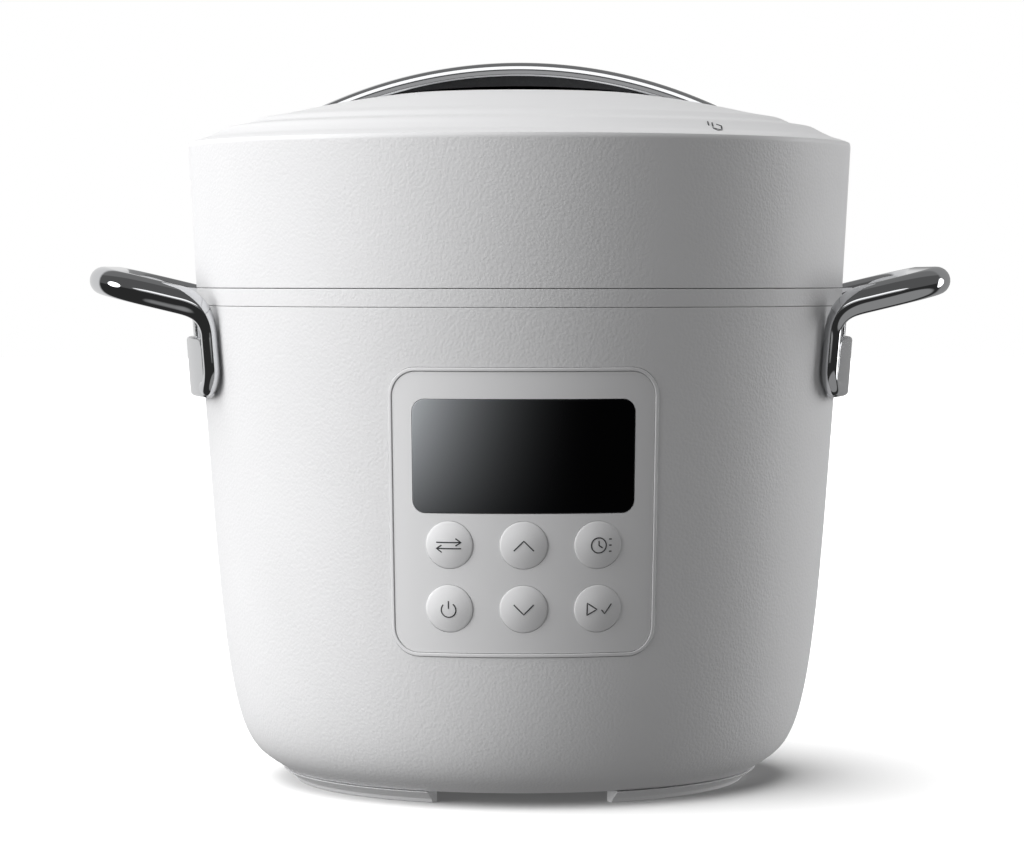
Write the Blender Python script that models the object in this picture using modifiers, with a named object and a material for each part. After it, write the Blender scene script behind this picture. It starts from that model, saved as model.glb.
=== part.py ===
"""Electric pressure multi-cooker with a twist-off lid, built from separate named pieces.

The origin is on the floor under the middle of the body. +Z is up, the control panel faces -Y and the
side handles point along +X and -X. An azimuth is measured about Z from the front (-Y) towards +X.
Run with: blender --background --python part.py
"""

import math

import bmesh
import bpy
from mathutils import Matrix, Vector

MM = 0.001

# Overall sizes
RIM_RADIUS = 118.5 * MM  # widest circle of the body and lid
SEAM_Z = 175.9 * MM  # where the lid meets the body
LID_SKIRT = 50.4 * MM  # height of the lid's side wall
HANDLE_OUT = 33.1 * MM  # how far a side handle stands out beyond the rim

# Fits
GAP = 0.3 * MM  # between faces that touch on the real object
RUN = 0.9 * MM  # between faces that slide past each other
KEY_RUN = 0.45 * MM  # round each button

# Outer casing
LID_TAPER = 2.8 * MM  # the lid narrows by this much down to the seam
CASE_WALL = 2.2 * MM
COLLAR_HEIGHT = 6.2 * MM
FLARE = 0.0742  # growth of the radius with height on the upper body
BEND_DROP = 73.5 * MM  # from the seam down to where the curved heel starts
HEEL_PULL_Z = 10.6 * MM  # how low the upper body's line pulls the heel's curve
HEEL_INSET = (12.0 * MM, 13.7 * MM)  # in from the bend's radius, and height above the floor
SOLE_INSET = 26.2 * MM
SOLE_Z = 4.6 * MM

# Base and feet
BASE_WALL = 2.4 * MM
FOOT_HEIGHT = SOLE_Z - GAP
FOOT_WIDTH = 9.0 * MM
FOOT_SLOPE = 4.5 * MM
FOOT_GAP_HALF_ANGLE = math.radians(22.5)

# Radial chain under the lid, from the outside in
LID_WALL = 2.5 * MM
SKIRT_SPACE = 3.2 * MM
LOCK_RING_WALL = 1.5 * MM
LUG_RUN = 2.0 * MM
LUG_REACH = 6.0 * MM
FLANGE_WIDTH = 9.0 * MM
WELL_WALL = 1.2 * MM
POT_RUN = 3.0 * MM
POT_WALL = 1.6 * MM
POT_RIM_WIDTH = 8.5 * MM

# Heights under the lid, above the seam
FLANGE_TOP = 11.1 * MM
LUG_THICKNESS = 3.0 * MM
SHELF_WALL = 1.2 * MM
POT_RIM_WALL = 1.6 * MM
GASKET_HEIGHT = 4.0 * MM
GASKET_WIDTH = 8.0 * MM
PRESSURE_WALL = 1.5 * MM
PRESSURE_RISE = 10.0 * MM
LOCK_RING_HEIGHT = 19.0 * MM
LUG_COUNT = 6
LUG_ANGLE = math.radians(24)

# Heights at the bottom
WELL_FLOOR_Z = 34.0 * MM
PLATE_GAP = 1.0 * MM
PLATE_HEIGHT = 7.6 * MM
PLATE_INSET = 6.0 * MM
PLATE_BORE = 17.0 * MM
SENSOR_RADIUS = 14.0 * MM
SENSOR_STEM = 4.0 * MM
SENSOR_HEIGHT = 6.0 * MM
SENSOR_TRAVEL = 2.0 * MM
SHIELD_Z = 28.0 * MM
SHIELD_RADIUS = 79.0 * MM
SHIELD_WALL = 1.0 * MM

# Top of the lid: (in from the rim, above the rim corner), from the rim to the edge of the dome
LID_STEPS = ((0.4, 1.0), (2.9, 2.0), (6.0, 2.8), (10.5, 4.9), (13.7, 6.7), (20.6, 7.7), (24.9, 9.8))
DOME_INSET = 34.0 * MM
DOME_STEP = 11.3 * MM
DOME_RADIUS = 365.0 * MM
BOWL_RADIUS = 40.0 * MM  # finger bowl under the lid handle
BOWL_DEPTH = 13.0 * MM

# Lid handle: a strap bent to an arc
STRAP_RADIUS = 169.0 * MM
STRAP_THICK = 5.1 * MM
STRAP_WIDTH = 22.0 * MM
STRAP_HALF_SPAN = 73.0 * MM
STRAP_STAND = 11.44 * MM  # its top above the edge of the finger bowl
GRIP_CLEARANCE = 0.35 * MM  # the grip liner's underside above the line of the dome
BOSS_LENGTH = 28.0 * MM
BOSS_FLOOR = 4.0 * MM
SCREW_RADIUS = 2.0 * MM
SCREW_HEAD = 3.6 * MM
HEAD_HEIGHT = 2.4 * MM

# Valves on the lid
VALVE_Y = 60.0 * MM
KNOB_RADIUS = 13.0 * MM
KNOB_HEIGHT = 13.0 * MM
KNOB_ABOVE = 6.2 * MM  # above the dome's surface at the valve
PIPE_RADIUS = 4.5 * MM
PIPE_BORE = 1.6 * MM
FILTER_RADIUS = 11.0 * MM
FLOAT_PLACE = (-44.0 * MM, 44.0 * MM)
FLOAT_RADIUS = 2.5 * MM
FLOAT_BELOW = 1.0 * MM
FLOAT_TRAVEL = 4.0 * MM

# Control panel, measured along the curved front
PANEL_DROP = 26.0 * MM  # from the seam down to the top of the panel
PANEL_WIDTH = 92.0 * MM
PANEL_HEIGHT = 97.0 * MM
PANEL_CORNER = 9.8 * MM
TRIM_WIDTH = 1.3 * MM
TRIM_PROUD = 0.35 * MM
TRIM_DEPTH = 3.4 * MM
PANEL_WALL = 2.2 * MM
WINDOW_WIDTH = 75.2 * MM
WINDOW_HEIGHT = 38.0 * MM
WINDOW_CORNER = 4.4 * MM
WINDOW_DROP = 10.6 * MM
WINDOW_WALL = 2.0 * MM
BUTTON_RADIUS = 8.0 * MM
BUTTON_STEP_ANGLE = math.radians(13.05)
BUTTON_ROW_DROP = (59.2 * MM, 80.6 * MM)  # from the top of the panel
BUTTON_DOME = 1.0 * MM
BUTTON_FLANGE = 1.1 * MM
BUTTON_SKIRT = 3.6 * MM
BUTTON_DEPTH = 7.4 * MM
BUTTON_STEM = 3.0 * MM
BUTTON_TRAVEL = 1.0 * MM
CARRIER_WALL = 1.6 * MM
BUTTON_NAMES = (("mode", "up", "timer"), ("cancel", "down", "start"))
DISPLAY_WIDTH = 60.0 * MM
DISPLAY_THICK = 3.2 * MM

# Side handles
LOOP_RADIUS = 4.9 * MM
LEG_RADIUS = 2.9 * MM
LEG_Y = 46.0 * MM
LEG_FOOT_DROP = 37.0 * MM
LOOP_TOP_RISE = 2.6 * MM  # centre of the outer bar above the seam
ARM_RISE_ANGLE = math.radians(13.5)
LEG_BEND = 9.5 * MM
LOOP_CORNER = 17.0 * MM
BRACKET_PROUD = 5.6 * MM
BRACKET_NECK_PROUD = 2.9 * MM
BRACKET_HALF_WIDTH = 40.5 * MM
BRACKET_NECK_HALF_WIDTH = 20.0 * MM
BRACKET_CORNER = 4.0 * MM
NECK_CORNER = 3.0 * MM
BOLT_Y = 16.0 * MM  # the bracket bolts, either side of the middle
BOLT_REACH = 3.0 * MM  # how far a bolt goes into its bracket
BRACKET_DROP = (17.4 * MM, 38.4 * MM)
NECK_DROP = 9.0 * MM

# Mains inlet, low on the back
INLET_WIDTH = 30.0 * MM
INLET_HEIGHT = 16.0 * MM
INLET_DEPTH = 15.0 * MM
INLET_Z = 24.5 * MM
INLET_WALL = 2.5 * MM
PIN_RADIUS = 1.6 * MM

BOARD_SIZE = (92.0 * MM, 58.0 * MM, 1.6 * MM)
BOARD_Z = 11.0 * MM
BASE_SCREW_RING = 66.0 * MM

ROUND = 32  # sides of the large round pieces
SMALL_ROUND = 16
PANEL_SLICES = 8
PANEL_LEVELS = 3

# Sizes that follow from the ones above
RIM_Z = SEAM_Z + LID_SKIRT
SEAM_RADIUS = RIM_RADIUS - LID_TAPER
BEND_Z = SEAM_Z - BEND_DROP
BEND_RADIUS = SEAM_RADIUS - FLARE * BEND_DROP
COLLAR_Z = SEAM_Z - COLLAR_HEIGHT
LOCK_RING_OUT = SEAM_RADIUS - LID_WALL - SKIRT_SPACE
LOCK_RING_IN = LOCK_RING_OUT - LOCK_RING_WALL
LUG_OUT = LOCK_RING_IN - LUG_RUN
FLANGE_OUT = LUG_OUT - LUG_REACH
WELL_OUT = FLANGE_OUT - FLANGE_WIDTH
WELL_IN = WELL_OUT - WELL_WALL
POT_OUT = WELL_IN - POT_RUN
POT_IN = POT_OUT - POT_WALL
FLANGE_Z = SEAM_Z + FLANGE_TOP
LUG_Z = FLANGE_Z - LUG_THICKNESS
POT_RIM_Z = FLANGE_Z + GAP
GASKET_Z = POT_RIM_Z + POT_RIM_WALL + GAP
PRESSURE_Z = GASKET_Z + GASKET_HEIGHT + GAP
LOCK_Z = LUG_Z - RUN - LUG_THICKNESS
PLATE_Z = WELL_FLOOR_Z + WELL_WALL + PLATE_GAP
POT_FLOOR_Z = PLATE_Z + PLATE_HEIGHT + GAP
DOME_EDGE_RADIUS = RIM_RADIUS - DOME_INSET
DOME_EDGE_Z = RIM_Z + DOME_STEP
PANEL_TOP = SEAM_Z - PANEL_DROP
PANEL_MIDDLE = PANEL_TOP - PANEL_HEIGHT / 2
WINDOW_MIDDLE = PANEL_TOP - WINDOW_DROP - WINDOW_HEIGHT / 2


# ---------------------------------------------------------------- shapes


def dome_height(radius):
    """Height of the lid's dome at this distance from the axis."""
    sag = (DOME_EDGE_RADIUS**2 - radius**2) / (2 * DOME_RADIUS)
    return DOME_EDGE_Z + sag


def heel_curve(count):
    """Outer profile of the body's lower part, from the bend down to the sole, as a Bezier curve."""
    start = Vector((BEND_RADIUS, BEND_Z))
    pull = BEND_Z - HEEL_PULL_Z
    ends = (
        start,
        start - pull * Vector((FLARE, 1.0)),
        Vector((BEND_RADIUS - HEEL_INSET[0], HEEL_INSET[1])),
        Vector((BEND_RADIUS - SOLE_INSET, SOLE_Z)),
    )
    points = []
    for step in range(count + 1):
        t = 1 - (1 - step / count) ** 1.6
        u = 1 - t
        points.append(
            u**3 * ends[0] + 3 * u * u * t * ends[1] + 3 * u * t * t * ends[2] + t**3 * ends[3]
        )
    return [(point.x, point.y) for point in points]


def body_radius(z):
    """Outer radius of the body at a height."""
    if z >= BEND_Z:
        return BEND_RADIUS + FLARE * (z - BEND_Z)
    points = heel_curve(60)
    for (r_high, z_high), (r_low, z_low) in zip(points, points[1:]):
        if z_low <= z <= z_high:
            return r_low + (r_high - r_low) * (z - z_low) / (z_high - z_low)
    return points[-1][0]


def arc(centre, radius, start, end, count):
    """Points on a circular arc, angles in degrees."""
    points = []
    for step in range(count + 1):
        angle = math.radians(start + (end - start) * step / count)
        points.append((centre[0] + radius * math.cos(angle), centre[1] + radius * math.sin(angle)))
    return points


def rounded_rectangle(width, height, corner, middle=(0.0, 0.0), steps=4):
    """Outline of a rectangle with round corners, anticlockwise."""
    corner = min(corner, width / 2.01, height / 2.01)
    x, y = width / 2 - corner, height / 2 - corner
    points = []
    for sx, sy, start in ((1, 1, 0), (-1, 1, 90), (-1, -1, 180), (1, -1, 270)):
        centre = (middle[0] + sx * x, middle[1] + sy * y)
        points += arc(centre, corner, start, start + 90, steps)
    return points


def hole_outline(radius, middle, stretch):
    """Outline of a round hole, made wider by stretch so that it is round once it is wrapped."""
    points = arc(middle, radius, 0, 360 - 360 / SMALL_ROUND, SMALL_ROUND - 1)
    return [(middle[0] + (x - middle[0]) * stretch, z) for x, z in points]


# ---------------------------------------------------------------- objects


def clear_scene():
    for obj in list(bpy.data.objects):
        bpy.data.objects.remove(obj, do_unlink=True)


def make_collection(name):
    collection = bpy.data.collections.new(name)
    bpy.context.scene.collection.children.link(collection)
    return collection


def make_material(name, colour, roughness, metallic=0.0):
    material = bpy.data.materials.new(name)
    material.use_nodes = True
    shader = material.node_tree.nodes["Principled BSDF"]
    shader.inputs["Base Color"].default_value = (*colour, 1.0)
    shader.inputs["Roughness"].default_value = roughness
    shader.inputs["Metallic"].default_value = metallic
    material.diffuse_color = (*colour, 1.0)
    return material


def add_object(name, mesh, material=None):
    """A new object in the cooker's collection, or among the cutters if it has no material."""
    obj = bpy.data.objects.new(name, mesh)
    if material is None:
        CUTTERS.objects.link(obj)
        obj.hide_render = True
        obj.display_type = "WIRE"
    else:
        COOKER.objects.link(obj)
        mesh.materials.append(material)
    return obj


def mesh_from(work, name):
    bmesh.ops.recalc_face_normals(work, faces=work.faces)
    mesh = bpy.data.meshes.new(name)
    work.to_mesh(mesh)
    work.free()
    return mesh


def turned(name, profile, material=None, sides=ROUND):
    """A profile of (radius, height) points turned about Z. It is closed unless it ends on the axis."""
    closed = profile[0][0] > 0 or profile[-1][0] > 0
    area = sum(
        a[0] * b[1] - b[0] * a[1] for a, b in zip(profile, list(profile[1:]) + [profile[0]])
    )
    if area > 0:
        profile = list(reversed(profile))
    mesh = bpy.data.meshes.new(name)
    edges = [(i, i + 1) for i in range(len(profile) - 1)]
    if closed:
        edges.append((len(profile) - 1, 0))
    mesh.from_pydata([(r, 0.0, z) for r, z in profile], edges, [])
    obj = add_object(name, mesh, material)
    screw = obj.modifiers.new("turn", "SCREW")
    screw.angle = 2 * math.pi
    screw.steps = screw.render_steps = sides
    screw.use_merge_vertices = True
    screw.merge_threshold = 0.01 * MM
    screw.use_smooth_shade = True
    return obj


def outline_mesh(name, outlines, low, high):
    """A flat outline, with any holes, in X and Z, made solid from y = low to y = high."""
    data = bpy.data.curves.new(name, "CURVE")
    data.dimensions = "2D"
    data.fill_mode = "BOTH"
    data.extrude = abs(high - low) / 2
    for outline in outlines:
        spline = data.splines.new("POLY")
        spline.points.add(len(outline) - 1)
        for point, (x, z) in zip(spline.points, outline):
            point.co = (x, z, 0.0, 1.0)
        spline.use_cyclic_u = True
    guide = bpy.data.objects.new(name, data)
    bpy.context.scene.collection.objects.link(guide)
    graph = bpy.context.evaluated_depsgraph_get()
    mesh = bpy.data.meshes.new_from_object(guide.evaluated_get(graph))
    bpy.data.objects.remove(guide, do_unlink=True)
    work = bmesh.new()
    work.from_mesh(mesh)
    bmesh.ops.remove_doubles(work, verts=work.verts, dist=0.01 * MM)
    turn = Matrix.Translation((0, (low + high) / 2, 0)) @ Matrix.Rotation(math.pi / 2, 4, "X")
    bmesh.ops.transform(work, matrix=turn, verts=work.verts)
    return work


def flat_piece(name, outlines, low, high, material=None):
    """A flat outline in X and Z, standing between y = low and y = high."""
    return add_object(name, mesh_from(outline_mesh(name, outlines, low, high), name), material)


def box(name, low, high, material=None):
    """A box between two corners, with its origin at its middle."""
    work = bmesh.new()
    bmesh.ops.create_cube(work, size=1.0)
    size = Vector(high) - Vector(low)
    bmesh.ops.scale(work, vec=size, verts=work.verts)
    obj = add_object(name, mesh_from(work, name), material)
    obj.location = (Vector(high) + Vector(low)) / 2
    return obj


def slice_for_wrap(work, width, count):
    """Cuts a mesh along upright and level planes, so that it can follow the round body."""
    planes = [((width * (step / count - 0.5), 0, 0), (1, 0, 0)) for step in range(1, count)]
    for level in range(PANEL_LEVELS):
        z = BEND_Z - (BEND_Z - PANEL_TOP + PANEL_HEIGHT) * level / PANEL_LEVELS
        planes.append(((0, 0, z), (0, 0, 1)))
    for place, normal in planes:
        parts = list(work.verts) + list(work.edges) + list(work.faces)
        bmesh.ops.bisect_plane(work, geom=parts, plane_co=place, plane_no=normal)


def wrap(work, azimuth=0.0):
    """Bends a flat mesh round the body: x runs along the front, and y is the depth behind its surface."""
    for vertex in work.verts:
        angle = azimuth + vertex.co.x / body_radius(PANEL_MIDDLE)
        radius = body_radius(vertex.co.z) - vertex.co.y
        z = vertex.co.z
        vertex.co = (radius * math.sin(angle), -radius * math.cos(angle), z)


def wrapped(name, outlines, depth, width, material=None, azimuth=0.0, slices=PANEL_SLICES):
    """A piece of the curved skin. depth is (outer, inner) below the body's surface."""
    work = outline_mesh(name, outlines, depth[0], depth[1])
    slice_for_wrap(work, width, slices)
    wrap(work, azimuth)
    return add_object(name, mesh_from(work, name), material)


def tube(name, points, radii, material, roundness=2):
    """A round bar along points, with its own radius at each one."""
    data = bpy.data.curves.new(name, "CURVE")
    data.dimensions = "3D"
    data.bevel_depth = 1.0
    data.bevel_resolution = roundness
    data.use_fill_caps = True
    spline = data.splines.new("POLY")
    spline.points.add(len(points) - 1)
    for point, place, radius in zip(spline.points, points, radii):
        point.co = (*place, 1.0)
        point.radius = radius
    guide = bpy.data.objects.new(name, data)
    bpy.context.scene.collection.objects.link(guide)
    graph = bpy.context.evaluated_depsgraph_get()
    mesh = bpy.data.meshes.new_from_object(guide.evaluated_get(graph))
    bpy.data.objects.remove(guide, do_unlink=True)
    work = bmesh.new()
    work.from_mesh(mesh)
    bmesh.ops.remove_doubles(work, verts=work.verts, dist=0.01 * MM)
    obj = add_object(name, mesh_from(work, name), material)
    obj.data.shade_smooth()
    return obj


def boolean(obj, other, operation):
    modifier = obj.modifiers.new(operation.lower(), "BOOLEAN")
    modifier.operation = operation
    modifier.object = other
    modifier.solver = "EXACT"


def upright_cylinder(name, place, radius, low, high, material=None, sides=SMALL_ROUND):
    """A cylinder along Z, with its origin on its axis."""
    obj = turned(name, [(0, high), (radius, high), (radius, low), (0, low)], material, sides)
    obj.location = (place[0], place[1], 0)
    return obj


# ---------------------------------------------------------------- body


def panel_outline(grow=0.0):
    """The edge of the control panel's opening, moved out by grow."""
    return rounded_rectangle(
        PANEL_WIDTH + 2 * grow, PANEL_HEIGHT + 2 * grow, PANEL_CORNER + grow, (0, PANEL_MIDDLE)
    )


def make_outer_body():
    top = (body_radius(COLLAR_Z - GAP), COLLAR_Z - GAP)
    outer = [top] + heel_curve(7)
    sole_in = sole_radius() - 2 * CASE_WALL
    foot = [(sole_in, SOLE_Z), (sole_in, SOLE_Z + BASE_WALL)]
    inner = [(r - CASE_WALL, z) for r, z in reversed([top] + heel_curve(5)[:-1])]
    body = turned("outer_body", outer + foot + inner, WHITE)
    opening = wrapped(
        "panel_cutter", [panel_outline(GAP)], (-3 * MM, 9 * MM), PANEL_WIDTH
    )
    boolean(body, opening, "DIFFERENCE")
    inlet = inlet_box("inlet_cutter", GAP, 30 * MM)
    boolean(body, inlet, "DIFFERENCE")
    for side in (-1, 1):
        for y in (-1, 1):
            boolean(body, bracket_bolt(side, y, "bolt_cutter", GAP), "DIFFERENCE")


def make_collar():
    top, bottom = SEAM_Z - GAP, COLLAR_Z
    outer_low, outer_high = body_radius(bottom), body_radius(top)
    inner = WELL_OUT + RUN
    turned(
        "body_collar",
        [
            (inner, top),
            (outer_high - 0.4 * MM, top),
            (outer_high, top - 0.4 * MM),
            (outer_low, bottom),
            (outer_low - CASE_WALL - 2 * MM, bottom),
            (inner, top - 2.5 * MM),
        ],
        WHITE,
    )


def sole_radius():
    return BEND_RADIUS - SOLE_INSET


def make_base():
    edge = sole_radius() - 2 * CASE_WALL - GAP
    floor = [(0, SOLE_Z + BASE_WALL), (edge, SOLE_Z + BASE_WALL), (edge, SOLE_Z), (0, SOLE_Z)]
    base = turned("base_plate", floor, WHITE)
    for index in range(3):
        angle = math.radians(90 + 120 * index)
        place = (BASE_SCREW_RING * math.cos(angle), BASE_SCREW_RING * math.sin(angle))
        bore = upright_cylinder(
            f"base_screw_cutter_{index + 1}", place, SCREW_RADIUS + GAP, 0, 20 * MM, sides=16
        )
        boolean(base, bore, "DIFFERENCE")
        top = SOLE_Z + BASE_WALL + 5 * MM
        head = SOLE_Z - GAP
        turned_screw(f"base_screw_{index + 1}", place, top, head, head - HEAD_HEIGHT)


def turned_screw(name, place, tip, seat, head):
    """A screw along Z with its head below, from the tip down to the seat and the head's face."""
    profile = [(0, tip), (SCREW_RADIUS, tip), (SCREW_RADIUS, seat), (SCREW_HEAD, seat)]
    profile += [(SCREW_HEAD, head), (0, head)]
    screw = turned(name, profile, STEEL, 12)
    screw.location = (place[0], place[1], 0)


def make_feet():
    outer = sole_radius() + 1.2 * MM
    ring = [
        (outer - FOOT_WIDTH, FOOT_HEIGHT),
        (outer, FOOT_HEIGHT),
        (outer - FOOT_SLOPE, 1.4 * MM),
        (outer - FOOT_SLOPE - 1 * MM, 0),
        (outer - FOOT_WIDTH, 0),
    ]
    reach = 2 * RIM_RADIUS
    lean = (math.sin(FOOT_GAP_HALF_ANGLE) * reach, math.cos(FOOT_GAP_HALF_ANGLE) * reach)
    for name, side in (("foot_left", -1), ("foot_right", 1)):
        wedge = [(0, 0), (side * lean[0], -lean[1]), (side * reach, -lean[1])]
        wedge += [(side * reach, lean[1]), (side * lean[0], lean[1])]
        cutter = flat_piece(f"{name}_wedge", [wedge], -SOLE_Z, SOLE_Z)
        cutter.rotation_euler = (-math.pi / 2, 0, 0)
        foot = turned(name, ring, WHITE)
        boolean(foot, cutter, "INTERSECT")


# ---------------------------------------------------------------- control panel


def button_places():
    """(name, azimuth, height) of each button."""
    places = []
    for drop, names in zip(BUTTON_ROW_DROP, BUTTON_NAMES):
        for column, name in enumerate(names):
            places.append((name, (column - 1) * BUTTON_STEP_ANGLE, PANEL_TOP - drop))
    return places


def window_outline(grow=0.0):
    return rounded_rectangle(
        WINDOW_WIDTH + 2 * grow, WINDOW_HEIGHT + 2 * grow, WINDOW_CORNER + grow, (0, WINDOW_MIDDLE)
    )


def make_panel():
    wrapped(
        "panel_trim",
        [panel_outline(), panel_outline(-TRIM_WIDTH)],
        (-TRIM_PROUD, TRIM_DEPTH),
        PANEL_WIDTH,
        WHITE,
    )
    scale = body_radius(PANEL_MIDDLE)
    holes = [window_outline(GAP)]
    for _, azimuth, z in button_places():
        place = (azimuth * scale, z)
        holes.append(hole_outline(BUTTON_RADIUS + KEY_RUN, place, scale / body_radius(z)))
    outline = panel_outline(-TRIM_WIDTH - GAP)
    wrapped("control_panel", [outline] + holes, (0, PANEL_WALL), PANEL_WIDTH, WHITE)
    wrapped("display_window", [window_outline()], (0, WINDOW_WALL), WINDOW_WIDTH, BLACK)


def surface_frame(azimuth, z):
    """A frame on the body's surface: its Z axis points straight out of it."""
    radius = body_radius(z)
    step = 0.5 * MM
    slope = (body_radius(z + step) - body_radius(z - step)) / (2 * step)
    outward = Vector((math.sin(azimuth), -math.cos(azimuth), -slope)).normalized()
    along = Vector((math.cos(azimuth), math.sin(azimuth), 0))
    up = outward.cross(along)
    turn = Matrix((along, up, outward)).transposed().to_4x4()
    place = Vector((radius * math.sin(azimuth), -radius * math.cos(azimuth), z))
    return Matrix.Translation(place) @ turn


def make_buttons():
    flange_top = -BUTTON_SKIRT
    flange_low = flange_top - 0.9 * MM
    edge = BUTTON_RADIUS
    profile = [(0, BUTTON_DOME), (0.62 * edge, 0.68 * BUTTON_DOME), (edge, -0.1 * MM)]
    profile += [(edge, flange_top), (edge + BUTTON_FLANGE, flange_top)]
    profile += [(edge + BUTTON_FLANGE, flange_low), (BUTTON_STEM, flange_low)]
    profile += [(BUTTON_STEM, -BUTTON_DEPTH), (0, -BUTTON_DEPTH)]
    for name, azimuth, z in button_places():
        button = turned(f"button_{name}", profile, WHITE, SMALL_ROUND)
        button.matrix_world = surface_frame(azimuth, z)


def make_electronics():
    low = PANEL_TOP - BUTTON_ROW_DROP[1] - BUTTON_RADIUS - 1 * MM
    high = PANEL_TOP - BUTTON_ROW_DROP[0] + BUTTON_RADIUS + 1 * MM
    width = 2 * (BUTTON_STEP_ANGLE * body_radius(PANEL_MIDDLE) + BUTTON_RADIUS + 1 * MM)
    depth = BUTTON_DEPTH + BUTTON_TRAVEL + 0.5 * MM
    outline = rounded_rectangle(width, high - low, 3 * MM, (0, (low + high) / 2), 2)
    wrapped("switch_carrier", [outline], (depth, depth + CARRIER_WALL), width, GREEN)

    half = DISPLAY_WIDTH / 2
    back = body_radius(WINDOW_MIDDLE) - CASE_WALL
    front = math.sqrt((back - 3.5 * MM) ** 2 - half**2)
    z_low, z_high = WINDOW_MIDDLE - WINDOW_HEIGHT / 2 + 1 * MM, WINDOW_MIDDLE + WINDOW_HEIGHT / 2
    box("display_module", (-half, -front, z_low), (half, DISPLAY_THICK - front, z_high), GREEN)

    x, y, thick = BOARD_SIZE
    board = box("power_board", (-x / 2, -y, BOARD_Z), (x / 2, 0, BOARD_Z + thick), GREEN)
    top = BOARD_Z + thick
    blocks = (
        ((-38, -50), (-10, -24), 12.0),
        ((-2, -48), (16, -32), 14.0),
        ((22, -52), (40, -30), 9.0),
        ((-36, -16), (-14, -4), 10.0),
        ((4, -22), (34, -6), 11.0),
    )
    for index, (near, far, height) in enumerate(blocks):
        low = (near[0] * MM, near[1] * MM, BOARD_Z + 0.5 * MM)
        block = box(f"component_{index + 1}", low, (far[0] * MM, far[1] * MM, top + height * MM))
        boolean(board, block, "UNION")


def inlet_face():
    """How far back the mains inlet's face is: just inside the casing at its lower edge."""
    return body_radius(INLET_Z - INLET_HEIGHT / 2) - GAP


def inlet_box(name, grow, behind, material=None):
    """The mains inlet's housing, from behind its face inwards."""
    face = inlet_face()
    x, z = INLET_WIDTH / 2 + grow, INLET_HEIGHT / 2 + grow
    low = (-x, face - INLET_DEPTH - grow, INLET_Z - z)
    return box(name, low, (x, face + behind, INLET_Z + z), material)


def make_inlet():
    inlet = inlet_box("power_inlet", 0.0, 0.0, DARK)
    face = inlet_face()
    x, z = INLET_WIDTH / 2 - INLET_WALL, INLET_HEIGHT / 2 - INLET_WALL
    floor = face - INLET_DEPTH + INLET_WALL
    socket = box("socket_cutter", (-x, floor, INLET_Z - z), (x, face + 5 * MM, INLET_Z + z))
    boolean(inlet, socket, "DIFFERENCE")
    for name, side in (("left", -1), ("right", 1)):
        pin = turned(
            f"inlet_pin_{name}",
            [(0, 8 * MM), (PIN_RADIUS, 8 * MM), (PIN_RADIUS, GAP), (0, GAP)],
            STEEL,
            12,
        )
        pin.location = (side * x / 2, floor, INLET_Z)
        pin.rotation_euler = (-math.pi / 2, 0, 0)


# ---------------------------------------------------------------- side handles


def beside_body(z):
    """How far out a leg's centre line is at a height, so that the leg just clears the body."""
    return math.sqrt((body_radius(z) + LEG_RADIUS + GAP) ** 2 - LEG_Y**2)


def loop_path(side):
    """Centre line and radii of one handle loop: up the front leg, out, across and back."""
    bar_x, bar_z = RIM_RADIUS + HANDLE_OUT - LOOP_RADIUS, SEAM_Z + LOOP_TOP_RISE
    foot_z = SEAM_Z - LEG_FOOT_DROP
    leg_x = beside_body(SEAM_Z)
    slope = math.tan(ARM_RISE_ANGLE)
    arm_start = (leg_x + LEG_BEND, bar_z - (bar_x - leg_x - LEG_BEND) * slope)
    bend_top = arm_start[1] - LEG_BEND * slope
    arm_end = (bar_x - LOOP_CORNER, bar_z - LOOP_CORNER * slope)
    points = [(beside_body(foot_z), -LEG_Y, foot_z, LEG_RADIUS)]
    bends = 5
    for step in range(bends + 1):
        t = step / bends
        u = 1 - t
        x = u * u * leg_x + 2 * u * t * leg_x + t * t * arm_start[0]
        z = u * u * (bend_top - LEG_BEND) + 2 * u * t * bend_top + t * t * arm_start[1]
        points.append((x, -LEG_Y, z, LEG_RADIUS + (LOOP_RADIUS - LEG_RADIUS) * t**2))
    points.append((arm_end[0], -LEG_Y, arm_end[1], LOOP_RADIUS))
    for step in range(1, 5):
        angle = math.pi / 2 * step / 4
        x = arm_end[0] + LOOP_CORNER * math.sin(angle)
        y = -LEG_Y + LOOP_CORNER * (1 - math.cos(angle))
        points.append((x, y, bar_z - (bar_x - x) * slope, LOOP_RADIUS))
    points += [(x, -y, z, r) for x, y, z, r in reversed(points)]
    return [(side * x, y, z) for x, y, z, _ in points], [r for *_, r in points]


def bracket_bolt(side, y, name, grow, material=None):
    """A bolt from inside the casing into a bracket."""
    z = SEAM_Z - (BRACKET_DROP[0] + BRACKET_DROP[1]) / 2
    reach = math.sqrt(body_radius(z) ** 2 - BOLT_Y**2)
    head = reach - CASE_WALL - 1.2 * MM
    if grow:
        tip, start = reach + BOLT_REACH + 2 * MM, head - 5 * MM
        profile = [(0, tip), (SCREW_RADIUS + grow, tip)]
        profile += [(SCREW_RADIUS + grow, start), (0, start)]
    else:
        tip = reach + BOLT_REACH
        profile = [(0, tip), (SCREW_RADIUS, tip), (SCREW_RADIUS, head)]
        profile += [(SCREW_HEAD, head), (SCREW_HEAD, head - HEAD_HEIGHT), (0, head - HEAD_HEIGHT)]
    bolt = turned(name, profile, material, 12)
    bolt.location = (0, y * BOLT_Y, z)
    bolt.rotation_euler = (0, side * math.pi / 2, 0)
    return bolt


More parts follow.
